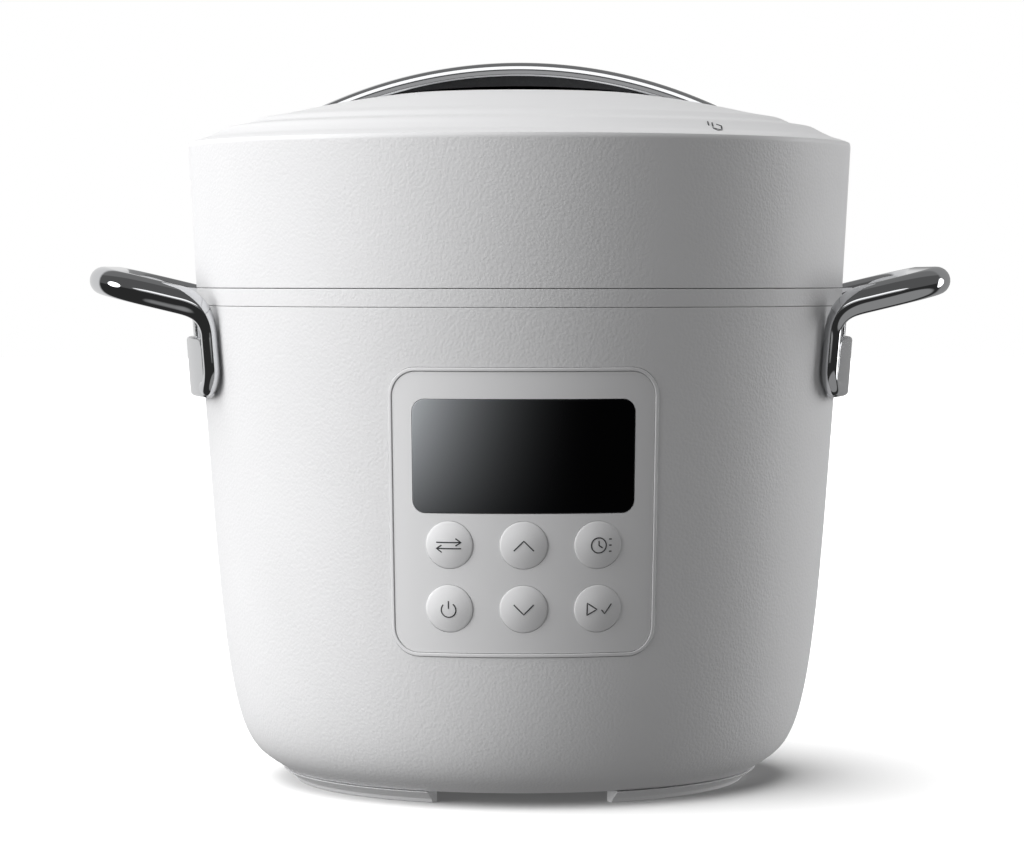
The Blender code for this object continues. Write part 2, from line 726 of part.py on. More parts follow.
def make_side_handles():
    for word, side in (("left", -1), ("right", 1)):
        points, radii = loop_path(side)
        tube(f"{word}_handle", points, radii, CHROME)
        top, bottom = SEAM_Z - BRACKET_DROP[0], SEAM_Z - BRACKET_DROP[1]
        middle, height = (top + bottom) / 2, top - bottom
        width = 2 * BRACKET_HALF_WIDTH
        azimuth = side * math.pi / 2
        plate = wrapped(
            f"{word}_handle_bracket",
            [rounded_rectangle(width, height, BRACKET_CORNER, (0, middle))],
            (-BRACKET_PROUD, -GAP),
            width,
            CHROME,
            azimuth,
            slices=8,
        )
        neck_top = SEAM_Z - NECK_DROP
        neck = wrapped(
            f"{word}_neck",
            [
                rounded_rectangle(
                    2 * BRACKET_NECK_HALF_WIDTH,
                    neck_top - middle,
                    NECK_CORNER,
                    (0, (neck_top + middle) / 2),
                )
            ],
            (-BRACKET_NECK_PROUD, -GAP - 0.2 * MM),
            2 * BRACKET_NECK_HALF_WIDTH,
            None,
            azimuth,
            slices=4,
        )
        boolean(plate, neck, "UNION")
        for number, y in ((1, -1), (2, 1)):
            boolean(plate, bracket_bolt(side, y, "bracket_bore", GAP), "DIFFERENCE")
            bracket_bolt(side, y, f"{word}_handle_bolt_{number}", 0.0, STEEL)


# ---------------------------------------------------------------- well, pot and heater


def lug_ring(name, inner, outer, low, high, offset):
    """Cutter that leaves the lugs: wedges between inner and outer, one for each space between lugs."""
    space = 2 * math.pi / LUG_COUNT - LUG_ANGLE
    outline = []
    for index in range(LUG_COUNT):
        middle = offset + 2 * math.pi * index / LUG_COUNT
        start, end = middle - LUG_ANGLE / 2, middle + LUG_ANGLE / 2
        for step in range(4):
            angle = start + (end - start) * step / 3
            outline.append((outer * math.cos(angle), outer * math.sin(angle)))
        for step in range(6):
            angle = end + space * step / 5
            outline.append((inner * math.cos(angle), inner * math.sin(angle)))
    cutter = flat_piece(name, [outline], low, high)
    cutter.rotation_euler = (-math.pi / 2, 0, 0)
    return cutter


def make_well():
    shelf = SEAM_Z + SHELF_WALL
    tube_in = WELL_IN
    profile = [
        (tube_in, FLANGE_Z),
        (LUG_OUT, FLANGE_Z),
        (LUG_OUT, LUG_Z),
        (WELL_OUT, LUG_Z),
        (WELL_OUT, shelf),
        (LOCK_RING_IN - LUG_RUN, shelf),
        (LOCK_RING_IN - LUG_RUN, SEAM_Z),
        (WELL_OUT, SEAM_Z),
        (WELL_OUT, WELL_FLOOR_Z + 4 * MM),
        (WELL_OUT - 4 * MM, WELL_FLOOR_Z),
        (PLATE_BORE + 3 * MM, WELL_FLOOR_Z),
        (PLATE_BORE + 3 * MM, WELL_FLOOR_Z + WELL_WALL),
        (WELL_IN - 3.6 * MM, WELL_FLOOR_Z + WELL_WALL),
        (tube_in, WELL_FLOOR_Z + WELL_WALL + 3.6 * MM),
    ]
    well = turned("pot_housing", profile, STEEL)
    keep = lug_star()
    boolean(well, keep, "DIFFERENCE")


def lug_star():
    """Blocks that clear the spaces between the flange's lugs."""
    ring = turned(
        "flange_space",
        [
            (FLANGE_OUT, FLANGE_Z + 1 * MM),
            (LUG_OUT + 1 * MM, FLANGE_Z + 1 * MM),
            (LUG_OUT + 1 * MM, LUG_Z - 1 * MM),
            (FLANGE_OUT, LUG_Z - 1 * MM),
        ],
    )
    star = lug_ring(
        "flange_lugs", FLANGE_OUT - 2 * MM, LUG_OUT + 3 * MM, LUG_Z - 2 * MM, FLANGE_Z + 2 * MM, 0.0
    )
    boolean(ring, star, "DIFFERENCE")
    return ring


def make_pot():
    corner = 18 * MM
    outside = arc((POT_OUT - corner, POT_FLOOR_Z + corner), corner, 0, -90, 4)
    inside = arc((POT_OUT - corner, POT_FLOOR_Z + corner), corner - POT_WALL, -90, 0, 4)
    rim_top = POT_RIM_Z + POT_RIM_WALL
    rim = [(POT_IN, rim_top), (POT_IN + POT_RIM_WIDTH, rim_top)]
    rim += [(POT_IN + POT_RIM_WIDTH, POT_RIM_Z), (POT_OUT, POT_RIM_Z)]
    profile = rim + outside + [(0, POT_FLOOR_Z), (0, POT_FLOOR_Z + POT_WALL)] + inside
    pot = turned("inner_pot", profile, DARK, ROUND)
    return pot


def make_heater():
    edge = WELL_IN - PLATE_INSET
    top = PLATE_Z + PLATE_HEIGHT
    turned(
        "heating_plate",
        [
            (edge - 12 * MM, top),
            (edge, top - 2 * MM),
            (edge, PLATE_Z),
            (PLATE_BORE, PLATE_Z),
            (PLATE_BORE, top),
        ],
        STEEL,
        36,
    )
    stem_low = SHIELD_Z - 3 * MM + SENSOR_TRAVEL
    cap_low = top - SENSOR_HEIGHT
    turned(
        "temperature_sensor",
        [
            (0, top),
            (SENSOR_RADIUS - 1 * MM, top),
            (SENSOR_RADIUS, top - 1 * MM),
            (SENSOR_RADIUS, cap_low),
            (SENSOR_STEM, cap_low),
            (SENSOR_STEM, stem_low),
            (0, stem_low),
        ],
        STEEL,
        SMALL_ROUND,
    )
    shield_top = SHIELD_Z + SHIELD_WALL
    turned(
        "heat_shield",
        [
            (SENSOR_STEM + RUN, shield_top),
            (SHIELD_RADIUS, shield_top),
            (SHIELD_RADIUS, SHIELD_Z - 4 * MM),
            (SHIELD_RADIUS - SHIELD_WALL, SHIELD_Z - 4 * MM),
            (SHIELD_RADIUS - SHIELD_WALL, SHIELD_Z),
            (SENSOR_STEM + RUN, SHIELD_Z),
        ],
        STEEL,
        36,
    )
    wire = 0.7 * MM
    coil_low, coil_high = shield_top + GAP + wire, cap_low - GAP - wire
    turns, sides = 3, 10
    points = []
    for step in range(turns * sides + 1):
        angle = 2 * math.pi * step / sides
        z = coil_low + (coil_high - coil_low) * step / (turns * sides)
        points.append((9 * MM * math.cos(angle), 9 * MM * math.sin(angle), z))
    tube("sensor_spring", points, [wire] * len(points), STEEL, 1)


# ---------------------------------------------------------------- lid


def lid_profile():
    """Outer outline of the lid, from the middle of the finger bowl out to the foot of the skirt."""
    bowl_edge = dome_height(BOWL_RADIUS)
    floor = bowl_edge - BOWL_DEPTH
    points = [(0, floor), (BOWL_RADIUS * 0.45, floor + 0.6 * MM)]
    points += [(BOWL_RADIUS * 0.72, floor + 3.4 * MM), (BOWL_RADIUS * 0.9, bowl_edge - 3.6 * MM)]
    points += [(BOWL_RADIUS * 0.97, bowl_edge - 0.9 * MM)]
    for step in range(4):
        radius = BOWL_RADIUS + (DOME_EDGE_RADIUS - BOWL_RADIUS) * step / 3
        points.append((radius, dome_height(radius)))
    points += [(RIM_RADIUS - inset * MM, RIM_Z + rise * MM) for inset, rise in reversed(LID_STEPS)]
    points += [(RIM_RADIUS, RIM_Z), (RIM_RADIUS - 1.4 * MM, RIM_Z - 22.6 * MM)]
    points += [(SEAM_RADIUS, SEAM_Z + GAP)]
    return points


def strap_centre_z():
    """Height of the centre of the strap's arc."""
    return dome_height(BOWL_RADIUS) + STRAP_STAND - STRAP_RADIUS


def strap_outline(grow=0.0):
    """The handle strap from the front: an arc of even thickness, with a grip liner under its middle."""
    centre = (0, strap_centre_z())
    half = math.degrees(math.asin((STRAP_HALF_SPAN + grow) / STRAP_RADIUS))
    outer = arc(centre, STRAP_RADIUS + grow, 90 - half, 90 + half, 16)
    inner = arc(centre, STRAP_RADIUS - STRAP_THICK - grow, 90 + half, 90 - half, 16)
    liner = [(x, min(z, dome_height(x) + GRIP_CLEARANCE - grow)) for x, z in inner]
    return outer + liner


def strap_low(x):
    """Height of the strap's underside at x."""
    return strap_centre_z() + math.sqrt((STRAP_RADIUS - STRAP_THICK) ** 2 - x**2)


def handle_screw_x():
    return STRAP_HALF_SPAN - 9 * MM


def make_lid_cover():
    outer = lid_profile()
    inner = [(RIM_RADIUS - 4 * MM - LID_WALL, RIM_Z - 4 * MM)]
    inner += [(DOME_EDGE_RADIUS, DOME_EDGE_Z - 1.6 * LID_WALL)]
    inner += [(BOWL_RADIUS + 6 * MM, dome_height(BOWL_RADIUS) - 1.4 * LID_WALL)]
    inner += [(BOWL_RADIUS * 0.8, outer[0][1] - LID_WALL), (0, outer[0][1] - LID_WALL)]
    skirt = [(SEAM_RADIUS - LID_WALL, SEAM_Z + GAP)]
    lid = turned("lid_cover", outer + skirt + inner, WHITE)
    floor = strap_low(STRAP_HALF_SPAN) - BOSS_FLOOR
    half = STRAP_WIDTH / 2 + 2.5 * MM
    for side in (-1, 1):
        far = STRAP_HALF_SPAN + 3 * MM
        ends = sorted((side * far, side * (far - BOSS_LENGTH)))
        roof = dome_height(STRAP_HALF_SPAN) - 1.5 * MM
        boss = box(f"boss_{side}", (ends[0], -half, floor), (ends[1], half, roof))
        boolean(lid, boss, "UNION")
    grown = STRAP_WIDTH / 2 + GAP
    slot = flat_piece("strap_slot", [strap_outline(GAP)], -grown, grown)
    boolean(lid, slot, "DIFFERENCE")
    for side in (-1, 1):
        place = (side * handle_screw_x(), 0)
        bore = upright_cylinder(
            f"lid_bore_{side}",
            place,
            SCREW_RADIUS + GAP,
            floor - 5 * MM,
            strap_low(handle_screw_x()) + 1 * MM,
        )
        boolean(lid, bore, "DIFFERENCE")
    knob_well = upright_cylinder(
        "knob_well", (0, VALVE_Y), KNOB_RADIUS + 2 * MM, RIM_Z - 12 * MM, RIM_Z + 40 * MM, sides=20
    )
    boolean(lid, knob_well, "DIFFERENCE")
    pin_hole = upright_cylinder(
        "pin_hole", FLOAT_PLACE, FLOAT_RADIUS + RUN, RIM_Z - 12 * MM, RIM_Z + 40 * MM, sides=16
    )
    boolean(lid, pin_hole, "DIFFERENCE")


def make_lid_handle():
    half = STRAP_WIDTH / 2
    strap = flat_piece("lid_handle", [strap_outline()], -half, half, CHROME)
    floor = strap_low(STRAP_HALF_SPAN) - BOSS_FLOOR
    for word, side in (("left", -1), ("right", 1)):
        place = (side * handle_screw_x(), 0)
        tip = strap_low(handle_screw_x()) + 3.2 * MM
        bore = upright_cylinder(
            f"strap_bore_{word}", place, SCREW_RADIUS + GAP, floor, tip + GAP, sides=16
        )
        boolean(strap, bore, "DIFFERENCE")
        seat = floor - GAP
        turned_screw(f"lid_handle_screw_{word}", place, tip, seat, seat - HEAD_HEIGHT)


def make_lock_ring():
    top = LOCK_Z + LOCK_RING_HEIGHT
    ring = turned(
        "lock_ring",
        [
            (LOCK_RING_IN, top),
            (LOCK_RING_OUT, top),
            (LOCK_RING_OUT, LOCK_Z),
            (FLANGE_OUT + RUN, LOCK_Z),
            (FLANGE_OUT + RUN, LOCK_Z + LUG_THICKNESS),
            (LOCK_RING_IN, LOCK_Z + LUG_THICKNESS),
        ],
        STEEL,
    )
    offset = math.pi / LUG_COUNT
    inner, outer = FLANGE_OUT - 2 * MM, LOCK_RING_IN + 0.6 * MM
    spaces = turned(
        "lug_spaces",
        [
            (inner, LOCK_Z + LUG_THICKNESS + 1 * MM),
            (LOCK_RING_IN, LOCK_Z + LUG_THICKNESS + 1 * MM),
            (LOCK_RING_IN, LOCK_Z - 1 * MM),
            (inner, LOCK_Z - 1 * MM),
        ],
    )
    star = lug_ring(
        "lid_lugs",
        inner - 2 * MM,
        outer + 3 * MM,
        LOCK_Z - 2 * MM,
        LOCK_Z + LUG_THICKNESS + 2 * MM,
        offset,
    )
    boolean(spaces, star, "DIFFERENCE")
    boolean(ring, spaces, "DIFFERENCE")


def make_pressure_lid():
    edge = LOCK_RING_IN - GAP
    rise = PRESSURE_Z + PRESSURE_RISE
    inner_edge = POT_IN - 4 * MM
    wall = PRESSURE_WALL
    profile = [
        (0, rise + wall),
        (inner_edge * 0.55, rise + wall - 1.5 * MM),
        (inner_edge, PRESSURE_Z + wall),
        (edge, PRESSURE_Z + wall),
        (edge, PRESSURE_Z),
        (inner_edge, PRESSURE_Z),
        (inner_edge * 0.55, rise - 1.5 * MM),
        (0, rise),
    ]
    lid = turned("pressure_lid", profile, STEEL)
    for name, place, radius in (
        ("pipe_hole", (0, VALVE_Y), PIPE_RADIUS + GAP),
        ("float_hole", FLOAT_PLACE, FLOAT_RADIUS + RUN),
    ):
        cutter = upright_cylinder(name, place, radius, SEAM_Z, RIM_Z, sides=16)
        boolean(lid, cutter, "DIFFERENCE")
    turned(
        "gasket",
        [
            (POT_IN + GASKET_WIDTH, GASKET_Z + GASKET_HEIGHT),
            (POT_IN + GASKET_WIDTH, GASKET_Z + 1 * MM),
            (POT_IN + GASKET_WIDTH - 1 * MM, GASKET_Z),
            (POT_IN, GASKET_Z),
            (POT_IN, GASKET_Z + GASKET_HEIGHT),
        ],
        RUBBER,
    )


def pressure_height(radius):
    """Underside of the pressure lid at this distance from the axis."""
    inner_edge = POT_IN - 4 * MM
    bend = inner_edge * 0.55
    high = PRESSURE_RISE - 1.5 * MM
    return PRESSURE_Z + high * (inner_edge - radius) / (inner_edge - bend)


def make_valves():
    top = dome_height(VALVE_Y) + KNOB_ABOVE
    low = top - KNOB_HEIGHT
    seat = pressure_height(VALVE_Y)
    knob = turned(
        "steam_valve",
        [
            (0, top - 3.5 * MM),
            (KNOB_RADIUS - 1 * MM, top - 3.5 * MM),
            (KNOB_RADIUS, top - 4.5 * MM),
            (KNOB_RADIUS, low),
            (PIPE_RADIUS + RUN, low),
            (PIPE_RADIUS + RUN, low + 6 * MM),
            (0, low + 6 * MM),
        ],
        DARK,
        24,
    )
    knob.location = (0, VALVE_Y, 0)
    grip = box(
        "knob_grip",
        (-2.4 * MM, VALVE_Y - KNOB_RADIUS + 2 * MM, top - 5 * MM),
        (2.4 * MM, VALVE_Y + KNOB_RADIUS - 2 * MM, top),
    )
    boolean(knob, grip, "UNION")
    pipe = turned(
        "vent_pipe",
        [
            (PIPE_RADIUS, low + 5.4 * MM),
            (PIPE_RADIUS, seat - 5 * MM),
            (PIPE_BORE, seat - 5 * MM),
            (PIPE_BORE, low + 5.4 * MM),
        ],
        STEEL,
        16,
    )
    pipe.location = (0, VALVE_Y, 0)
    cap_top = pressure_height(VALVE_Y + FILTER_RADIUS) - RUN
    cap = turned(
        "filter_cap",
        [
            (PIPE_RADIUS + GAP, cap_top),
            (FILTER_RADIUS, cap_top),
            (FILTER_RADIUS, cap_top - 7 * MM),
            (FILTER_RADIUS - 1.2 * MM, cap_top - 7 * MM),
            (FILTER_RADIUS - 1.2 * MM, cap_top - 1.2 * MM),
            (PIPE_RADIUS + GAP, cap_top - 1.2 * MM),
        ],
        STEEL,
        24,
    )
    cap.location = (0, VALVE_Y, 0)
    reach = math.hypot(*FLOAT_PLACE)
    pin_top = dome_height(reach) - FLOAT_BELOW
    stop = pressure_height(reach + 5 * MM) - FLOAT_TRAVEL - RUN
    pin = turned(
        "float_valve",
        [
            (0, pin_top),
            (FLOAT_RADIUS, pin_top),
            (FLOAT_RADIUS, stop),
            (5 * MM, stop),
            (5 * MM, stop - 1 * MM),
            (FLOAT_RADIUS, stop - 1 * MM),
            (FLOAT_RADIUS, stop - 3 * MM),
            (0, stop - 3 * MM),
        ],
        STEEL,
        16,
    )
    pin.location = (*FLOAT_PLACE, 0)
    seal = turned(
        "float_seal",
        [
            (FLOAT_RADIUS + GAP, stop - 1 * MM - GAP),
            (4.6 * MM, stop - 1 * MM - GAP),
            (4.6 * MM, stop - 2.8 * MM),
            (FLOAT_RADIUS + GAP, stop - 2.8 * MM),
        ],
        RUBBER,
        16,
    )
    seal.location = (*FLOAT_PLACE, 0)


clear_scene()
COOKER = make_collection("pressure_cooker")
CUTTERS = make_collection("cutters")
WHITE = make_material("white_moulded_plastic", (0.78, 0.78, 0.77), 0.5)
BLACK = make_material("black_gloss_window", (0.01, 0.01, 0.012), 0.06)
CHROME = make_material("polished_chrome", (0.75, 0.75, 0.76), 0.06, 1.0)
STEEL = make_material("brushed_steel", (0.55, 0.55, 0.55), 0.3, 1.0)
DARK = make_material("dark_coating", (0.04, 0.04, 0.045), 0.35)
RUBBER = make_material("silicone_rubber", (0.7, 0.7, 0.68), 0.6)
GREEN = make_material("circuit_board", (0.03, 0.16, 0.07), 0.4)

make_outer_body()
make_collar()
make_base()
make_feet()
make_panel()
make_buttons()
make_electronics()
make_inlet()
make_side_handles()
make_well()
make_pot()
make_heater()
make_lid_cover()
make_lid_handle()
make_lock_ring()
make_pressure_lid()
make_valves()
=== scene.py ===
"""Looks of an electric pressure multi-cooker with a twist-off lid.

Metres throughout. The origin is on the floor under the middle of the body, +Z is up and the control
panel faces -Y. An azimuth is measured about Z from the front (-Y) towards +X.
"""

import logging
import math
from collections.abc import Callable, Sequence
from dataclasses import dataclass, field
from enum import Enum

import bpy
from mathutils import Matrix, Vector


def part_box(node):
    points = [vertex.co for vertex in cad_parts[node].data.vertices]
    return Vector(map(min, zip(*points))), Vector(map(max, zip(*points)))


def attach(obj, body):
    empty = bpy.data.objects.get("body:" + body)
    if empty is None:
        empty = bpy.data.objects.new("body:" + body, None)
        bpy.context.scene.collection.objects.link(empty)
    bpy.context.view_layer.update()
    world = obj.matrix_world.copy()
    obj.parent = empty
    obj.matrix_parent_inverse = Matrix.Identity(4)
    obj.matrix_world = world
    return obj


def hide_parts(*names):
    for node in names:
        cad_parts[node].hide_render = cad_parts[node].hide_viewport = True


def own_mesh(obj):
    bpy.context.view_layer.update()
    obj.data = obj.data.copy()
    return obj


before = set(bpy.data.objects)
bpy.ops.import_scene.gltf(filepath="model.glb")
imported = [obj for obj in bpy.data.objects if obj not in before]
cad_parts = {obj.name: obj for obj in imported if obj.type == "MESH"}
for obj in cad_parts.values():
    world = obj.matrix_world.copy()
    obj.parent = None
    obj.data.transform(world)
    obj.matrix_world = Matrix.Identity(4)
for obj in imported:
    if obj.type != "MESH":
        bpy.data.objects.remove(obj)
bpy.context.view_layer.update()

MM = 0.001
Point = tuple[float, float]
Place = tuple[float, float, float]
LOG = logging.getLogger("cooker")


# ---------------------------------------------------------------- outlines


@dataclass(frozen=True)
class BodyLine:
    """The outer line of the casing, from its top edge down to the sole."""

    seam_z: float = 175.9 * MM
    seam_radius: float = 115.7 * MM
    bend_z: float = 102.4 * MM
    flare: float = 0.0742
    heel_pull_z: float = 10.6 * MM
    heel_inset: float = 12.0 * MM
    heel_z: float = 13.7 * MM
    sole_inset: float = 26.2 * MM
    sole_z: float = 4.6 * MM

    @property
    def bend_radius(self) -> float:
        """Radius where the straight flare ends and the heel begins."""
        return self.seam_radius - self.flare * (self.seam_z - self.bend_z)

    @property
    def sole_radius(self) -> float:
        """Radius of the flat underside."""
        return self.bend_radius - self.sole_inset

    def heel(self, count: int) -> list[Point]:
        """Points of the curved heel.

        Args:
            count: how many steps the curve takes.

        Returns:
            (radius, height) from the bend down to the sole.
        """
        start = Vector((self.bend_radius, self.bend_z))
        pull = self.bend_z - self.heel_pull_z
        ends = (
            start,
            start - pull * Vector((self.flare, 1.0)),
            Vector((self.bend_radius - self.heel_inset, self.heel_z)),
            Vector((self.sole_radius, self.sole_z)),
        )
        points = []
        for step in range(count + 1):
            t = 1 - (1 - step / count) ** 1.4
            u = 1 - t
            place = (
                u**3 * ends[0]
                + 3 * u * u * t * ends[1]
                + 3 * u * t * t * ends[2]
                + t**3 * ends[3]
            )
            points.append((place.x, place.y))
        return points

    def radius(self, z: float) -> float:
        """Outer radius of the casing at a height."""
        if z >= self.bend_z:
            return self.bend_radius + self.flare * (z - self.bend_z)
        for (r_high, z_high), (r_low, z_low) in zip(HEEL, HEEL[1:]):
            if z_low <= z <= z_high:
                return r_low + (r_high - r_low) * (z - z_low) / (z_high - z_low)
        return HEEL[-1][0]


BODY = BodyLine()
HEEL = BODY.heel(160)


@dataclass(frozen=True)
class LidLine:
    """The outer line of the lid."""

    rim_radius: float = 118.48 * MM
    rim_z: float = 226.3 * MM
    steps: tuple[Point, ...] = (
        (2.9, 2.0),
        (6.0, 2.8),
        (10.5, 4.9),
        (13.7, 6.7),
        (20.6, 7.7),
        (24.9, 9.8),
    )
    dome_edge: float = 84.5 * MM
    dome_edge_z: float = 237.6 * MM
    dome_radius: float = 365.0 * MM
    bowl_radius: float = 40.0 * MM
    bowl_depth: float = 13.0 * MM

    def dome(self, radius: float) -> float:
        """Height of the dome at this distance from the axis."""
        return self.dome_edge_z + (self.dome_edge**2 - radius**2) / (2 * self.dome_radius)

    def top(self) -> list[Point]:
        """Points of the top, from the middle of the finger bowl out to the rim's corner."""
        edge = self.dome(self.bowl_radius)
        floor = edge - self.bowl_depth
        points = [(0.0, floor)]
        for step in range(1, 9):
            t = step / 9
            points.append((self.bowl_radius * t, floor + self.bowl_depth * smooth(t**1.7)))
        points.append((self.bowl_radius * 1.02, edge - 0.15 * MM))
        for step in range(1, 9):
            radius = self.bowl_radius + (self.dome_edge - self.bowl_radius) * step / 8
            points.append((radius, self.dome(radius)))
        for inset, rise in reversed(self.steps):
            points.append((self.rim_radius - inset * MM, self.rim_z + rise * MM))
        points.append((self.rim_radius - 0.35 * MM, self.rim_z + 1.0 * MM))
        return points

    def height(self, radius: float) -> float:
        """Height of the lid's top at this distance from the axis."""
        points = self.top()
        for (r_in, z_in), (r_out, z_out) in zip(points, points[1:]):
            if r_in <= radius <= r_out:
                return z_in + (z_out - z_in) * (radius - r_in) / (r_out - r_in)
        return points[-1][1]


def smooth(t: float) -> float:
    """Eases 0..1 with level ends."""
    return t * t * (3 - 2 * t)


def rounded(points: Sequence[Point], reach: float, steps: int = 3) -> list[Point]:
    """An open line with its corners eased.

    Args:
        points: (radius, height) of the corners.
        reach: how far from a corner its curve begins, at most.
        steps: how many steps a corner takes.

    Returns:
        The line with each inner corner replaced by a short curve.
    """
    corners = [Vector(point) for point in points]
    line = [corners[0]]
    for before, here, after in zip(corners, corners[1:], corners[2:]):
        back, on = before - here, after - here
        near = here + back.normalized() * min(reach, 0.45 * back.length)
        far = here + on.normalized() * min(reach, 0.45 * on.length)
        for step in range(steps + 1):
            t = step / steps
            line.append((1 - t) ** 2 * near + 2 * t * (1 - t) * here + t * t * far)
    line.append(corners[-1])
    return [(point.x, point.y) for point in line]


def surface_frame(azimuth: float, z: float) -> Matrix:
    """A frame on the casing's surface whose Z axis points straight out of it.

    Args:
        azimuth: where it stands round the body.
        z: its height.

    Returns:
        The frame, X along the surface and Y up it.
    """
    step = 0.5 * MM
    slope = (BODY.radius(z + step) - BODY.radius(z - step)) / (2 * step)
    outward = Vector((math.sin(azimuth), -math.cos(azimuth), -slope)).normalized()
    along = Vector((math.cos(azimuth), math.sin(azimuth), 0))
    turn = Matrix((along, outward.cross(along), outward)).transposed().to_4x4()
    radius = BODY.radius(z)
    place = Vector((radius * math.sin(azimuth), -radius * math.cos(azimuth), z))
    return Matrix.Translation(place) @ turn


# ---------------------------------------------------------------- modelling


class Operation(Enum):
    """What a Boolean does with the other shape."""

    CUT = "DIFFERENCE"
    JOIN = "UNION"


def edit(action: Callable[[], None]) -> None:
    """Runs one step in edit mode with everything selected.

    Args:
        action: the operators to run.
    """
    bpy.ops.object.mode_set(mode="EDIT")
    bpy.ops.mesh.select_all(action="SELECT")
    action()
    bpy.ops.object.mode_set(mode="OBJECT")


def settle(obj: bpy.types.Object) -> None:
    """Puts an object's place, turn and size into its mesh.

    Args:
        obj: the piece.
    """
    only(obj)
    bpy.ops.object.transform_apply(location=True, rotation=True, scale=True)


def only(obj: bpy.types.Object) -> None:
    """Selects this piece alone and makes it active."""
    bpy.ops.object.select_all(action="DESELECT")
    obj.select_set(True)
    bpy.context.view_layer.objects.active = obj


def move(obj: bpy.types.Object, matrix: Matrix) -> bpy.types.Object:
    """Moves a piece's mesh by a matrix.

    Args:
        obj: the piece.
        matrix: where it goes.

    Returns:
        The same piece.
    """
    obj.matrix_world = matrix
    settle(obj)
    return obj


def drawn(name: str, points: Sequence[Place], closed: bool = False) -> bpy.types.Object:
    """A line drawn by extruding one vertex from point to point.

    Args:
        name: the piece's name.
        points: where the line goes.
        closed: whether it comes back to its start.

    Returns:
        A mesh of edges.
    """
    bpy.ops.object.select_all(action="DESELECT")
    bpy.ops.mesh.primitive_plane_add(size=0.1 * MM, location=points[0])
    obj = bpy.context.object
    obj.name = obj.data.name = name

    def trace() -> None:
        """Extrudes the line."""
        bpy.ops.mesh.merge(type="CENTER")
        here = Vector(points[0])
        for there in list(points[1:]) + ([points[0]] if closed else []):
            bpy.ops.mesh.extrude_vertices_move(
                TRANSFORM_OT_translate={"value": Vector(there) - here}
            )
            here = Vector(there)
        bpy.ops.mesh.select_all(action="SELECT")
        bpy.ops.mesh.remove_doubles(threshold=0.001 * MM)

    edit(trace)
    settle(obj)
    return obj


def turned(
    name: str,
    profile: Sequence[Point],
    steps: int = 96,
    closed: bool = False,
    start: float = 0.0,
    angle: float = math.tau,
) -> bpy.types.Object:
    """A profile spun about the Z axis.

    Args:
        name: the piece's name.
        profile: (radius, height) points.
        steps: how many steps the spin takes.
        closed: whether the profile comes back to its start.
        start: azimuth where the spin begins.
        angle: how far it goes round.

    Returns:
        The spun shell, closed where the profile is closed or meets the axis.
    """
    across = (math.sin(start), -math.cos(start))
    obj = drawn(name, [(r * across[0], r * across[1], z) for r, z in profile], closed)

    def spin() -> None:
        """Spins the line, closes its ends and turns the faces out."""
        bpy.ops.mesh.spin(steps=steps, dupli=False, angle=-angle, center=(0, 0, 0), axis=(0, 0, 1))
        bpy.ops.mesh.select_all(action="SELECT")
        bpy.ops.mesh.remove_doubles(threshold=0.002 * MM)
        if angle < math.tau:
            bpy.ops.mesh.select_all(action="DESELECT")
            bpy.ops.mesh.select_non_manifold()
            bpy.ops.mesh.edge_face_add()
            bpy.ops.mesh.select_all(action="SELECT")
        bpy.ops.mesh.normals_make_consistent(inside=False)

    edit(spin)
    return obj


def plate(
    name: str,
    size: Point,
    corner: float,
    middle: Point,
    depth: Point,
    corner_steps: int = 8,
) -> bpy.types.Object:
    """A flat plate with round corners that faces -Y.

    Args:
        name: the piece's name.
        size: width and height.
        corner: radius of its corners.
        middle: x and z of its middle.
        depth: y of its face and of its back.
        corner_steps: how many steps a corner takes.

    Returns:
        The plate.
    """
    bpy.ops.object.select_all(action="DESELECT")
    bpy.ops.mesh.primitive_plane_add(
        size=1, location=(middle[0], depth[0], middle[1]), rotation=(math.pi / 2, 0, 0)
    )
    obj = bpy.context.object
    obj.name = obj.data.name = name
    obj.scale = (size[0], size[1], 1)
    settle(obj)

    def shape() -> None:
        """Rounds the corners and gives the plate its depth."""
        bpy.ops.mesh.bevel(offset=corner, segments=corner_steps, affect="VERTICES")
        bpy.ops.mesh.select_all(action="SELECT")
        bpy.ops.mesh.extrude_region_move(
            TRANSFORM_OT_translate={"value": (0, depth[1] - depth[0], 0)}
        )
        bpy.ops.mesh.select_all(action="SELECT")
        bpy.ops.mesh.normals_make_consistent(inside=False)

    edit(shape)
    return obj


def cylinder(name: str, radius: float, low: Place, high: Place, sides: int = 48) -> bpy.types.Object:
    """A cylinder between two points, used as a cutter or as the start of a piece.

    Args:
        name: its name.
        radius: its radius.
        low: middle of one end.
        high: middle of the other end.
        sides: how many sides it has.

    Returns:
        The cylinder.
    """
    along = Vector(high) - Vector(low)
    bpy.ops.object.select_all(action="DESELECT")
    bpy.ops.mesh.primitive_cylinder_add(
        vertices=sides,
        radius=radius,
        depth=along.length,
        location=(Vector(low) + Vector(high)) / 2,
        rotation=along.to_track_quat("Z", "Y").to_euler(),
    )
    obj = bpy.context.object
    obj.name = obj.data.name = name
    settle(obj)
    return obj


def block(name: str, low: Place, high: Place, edge: float = 0.0) -> bpy.types.Object:
    """A box between two corners, with its edges rounded.

    Args:
        name: its name.
        low: its lowest corner.
        high: its highest corner.
        edge: radius of its edges, or 0 to leave them sharp.

    Returns:
        The box.
    """
    bpy.ops.object.select_all(action="DESELECT")
    bpy.ops.mesh.primitive_cube_add(size=1, location=(Vector(low) + Vector(high)) / 2)
    obj = bpy.context.object
    obj.name = obj.data.name = name
    obj.scale = Vector(high) - Vector(low)
    settle(obj)
    if edge:
        edit(lambda: bpy.ops.mesh.bevel(offset=edge, segments=4, affect="EDGES") and None)
    return obj


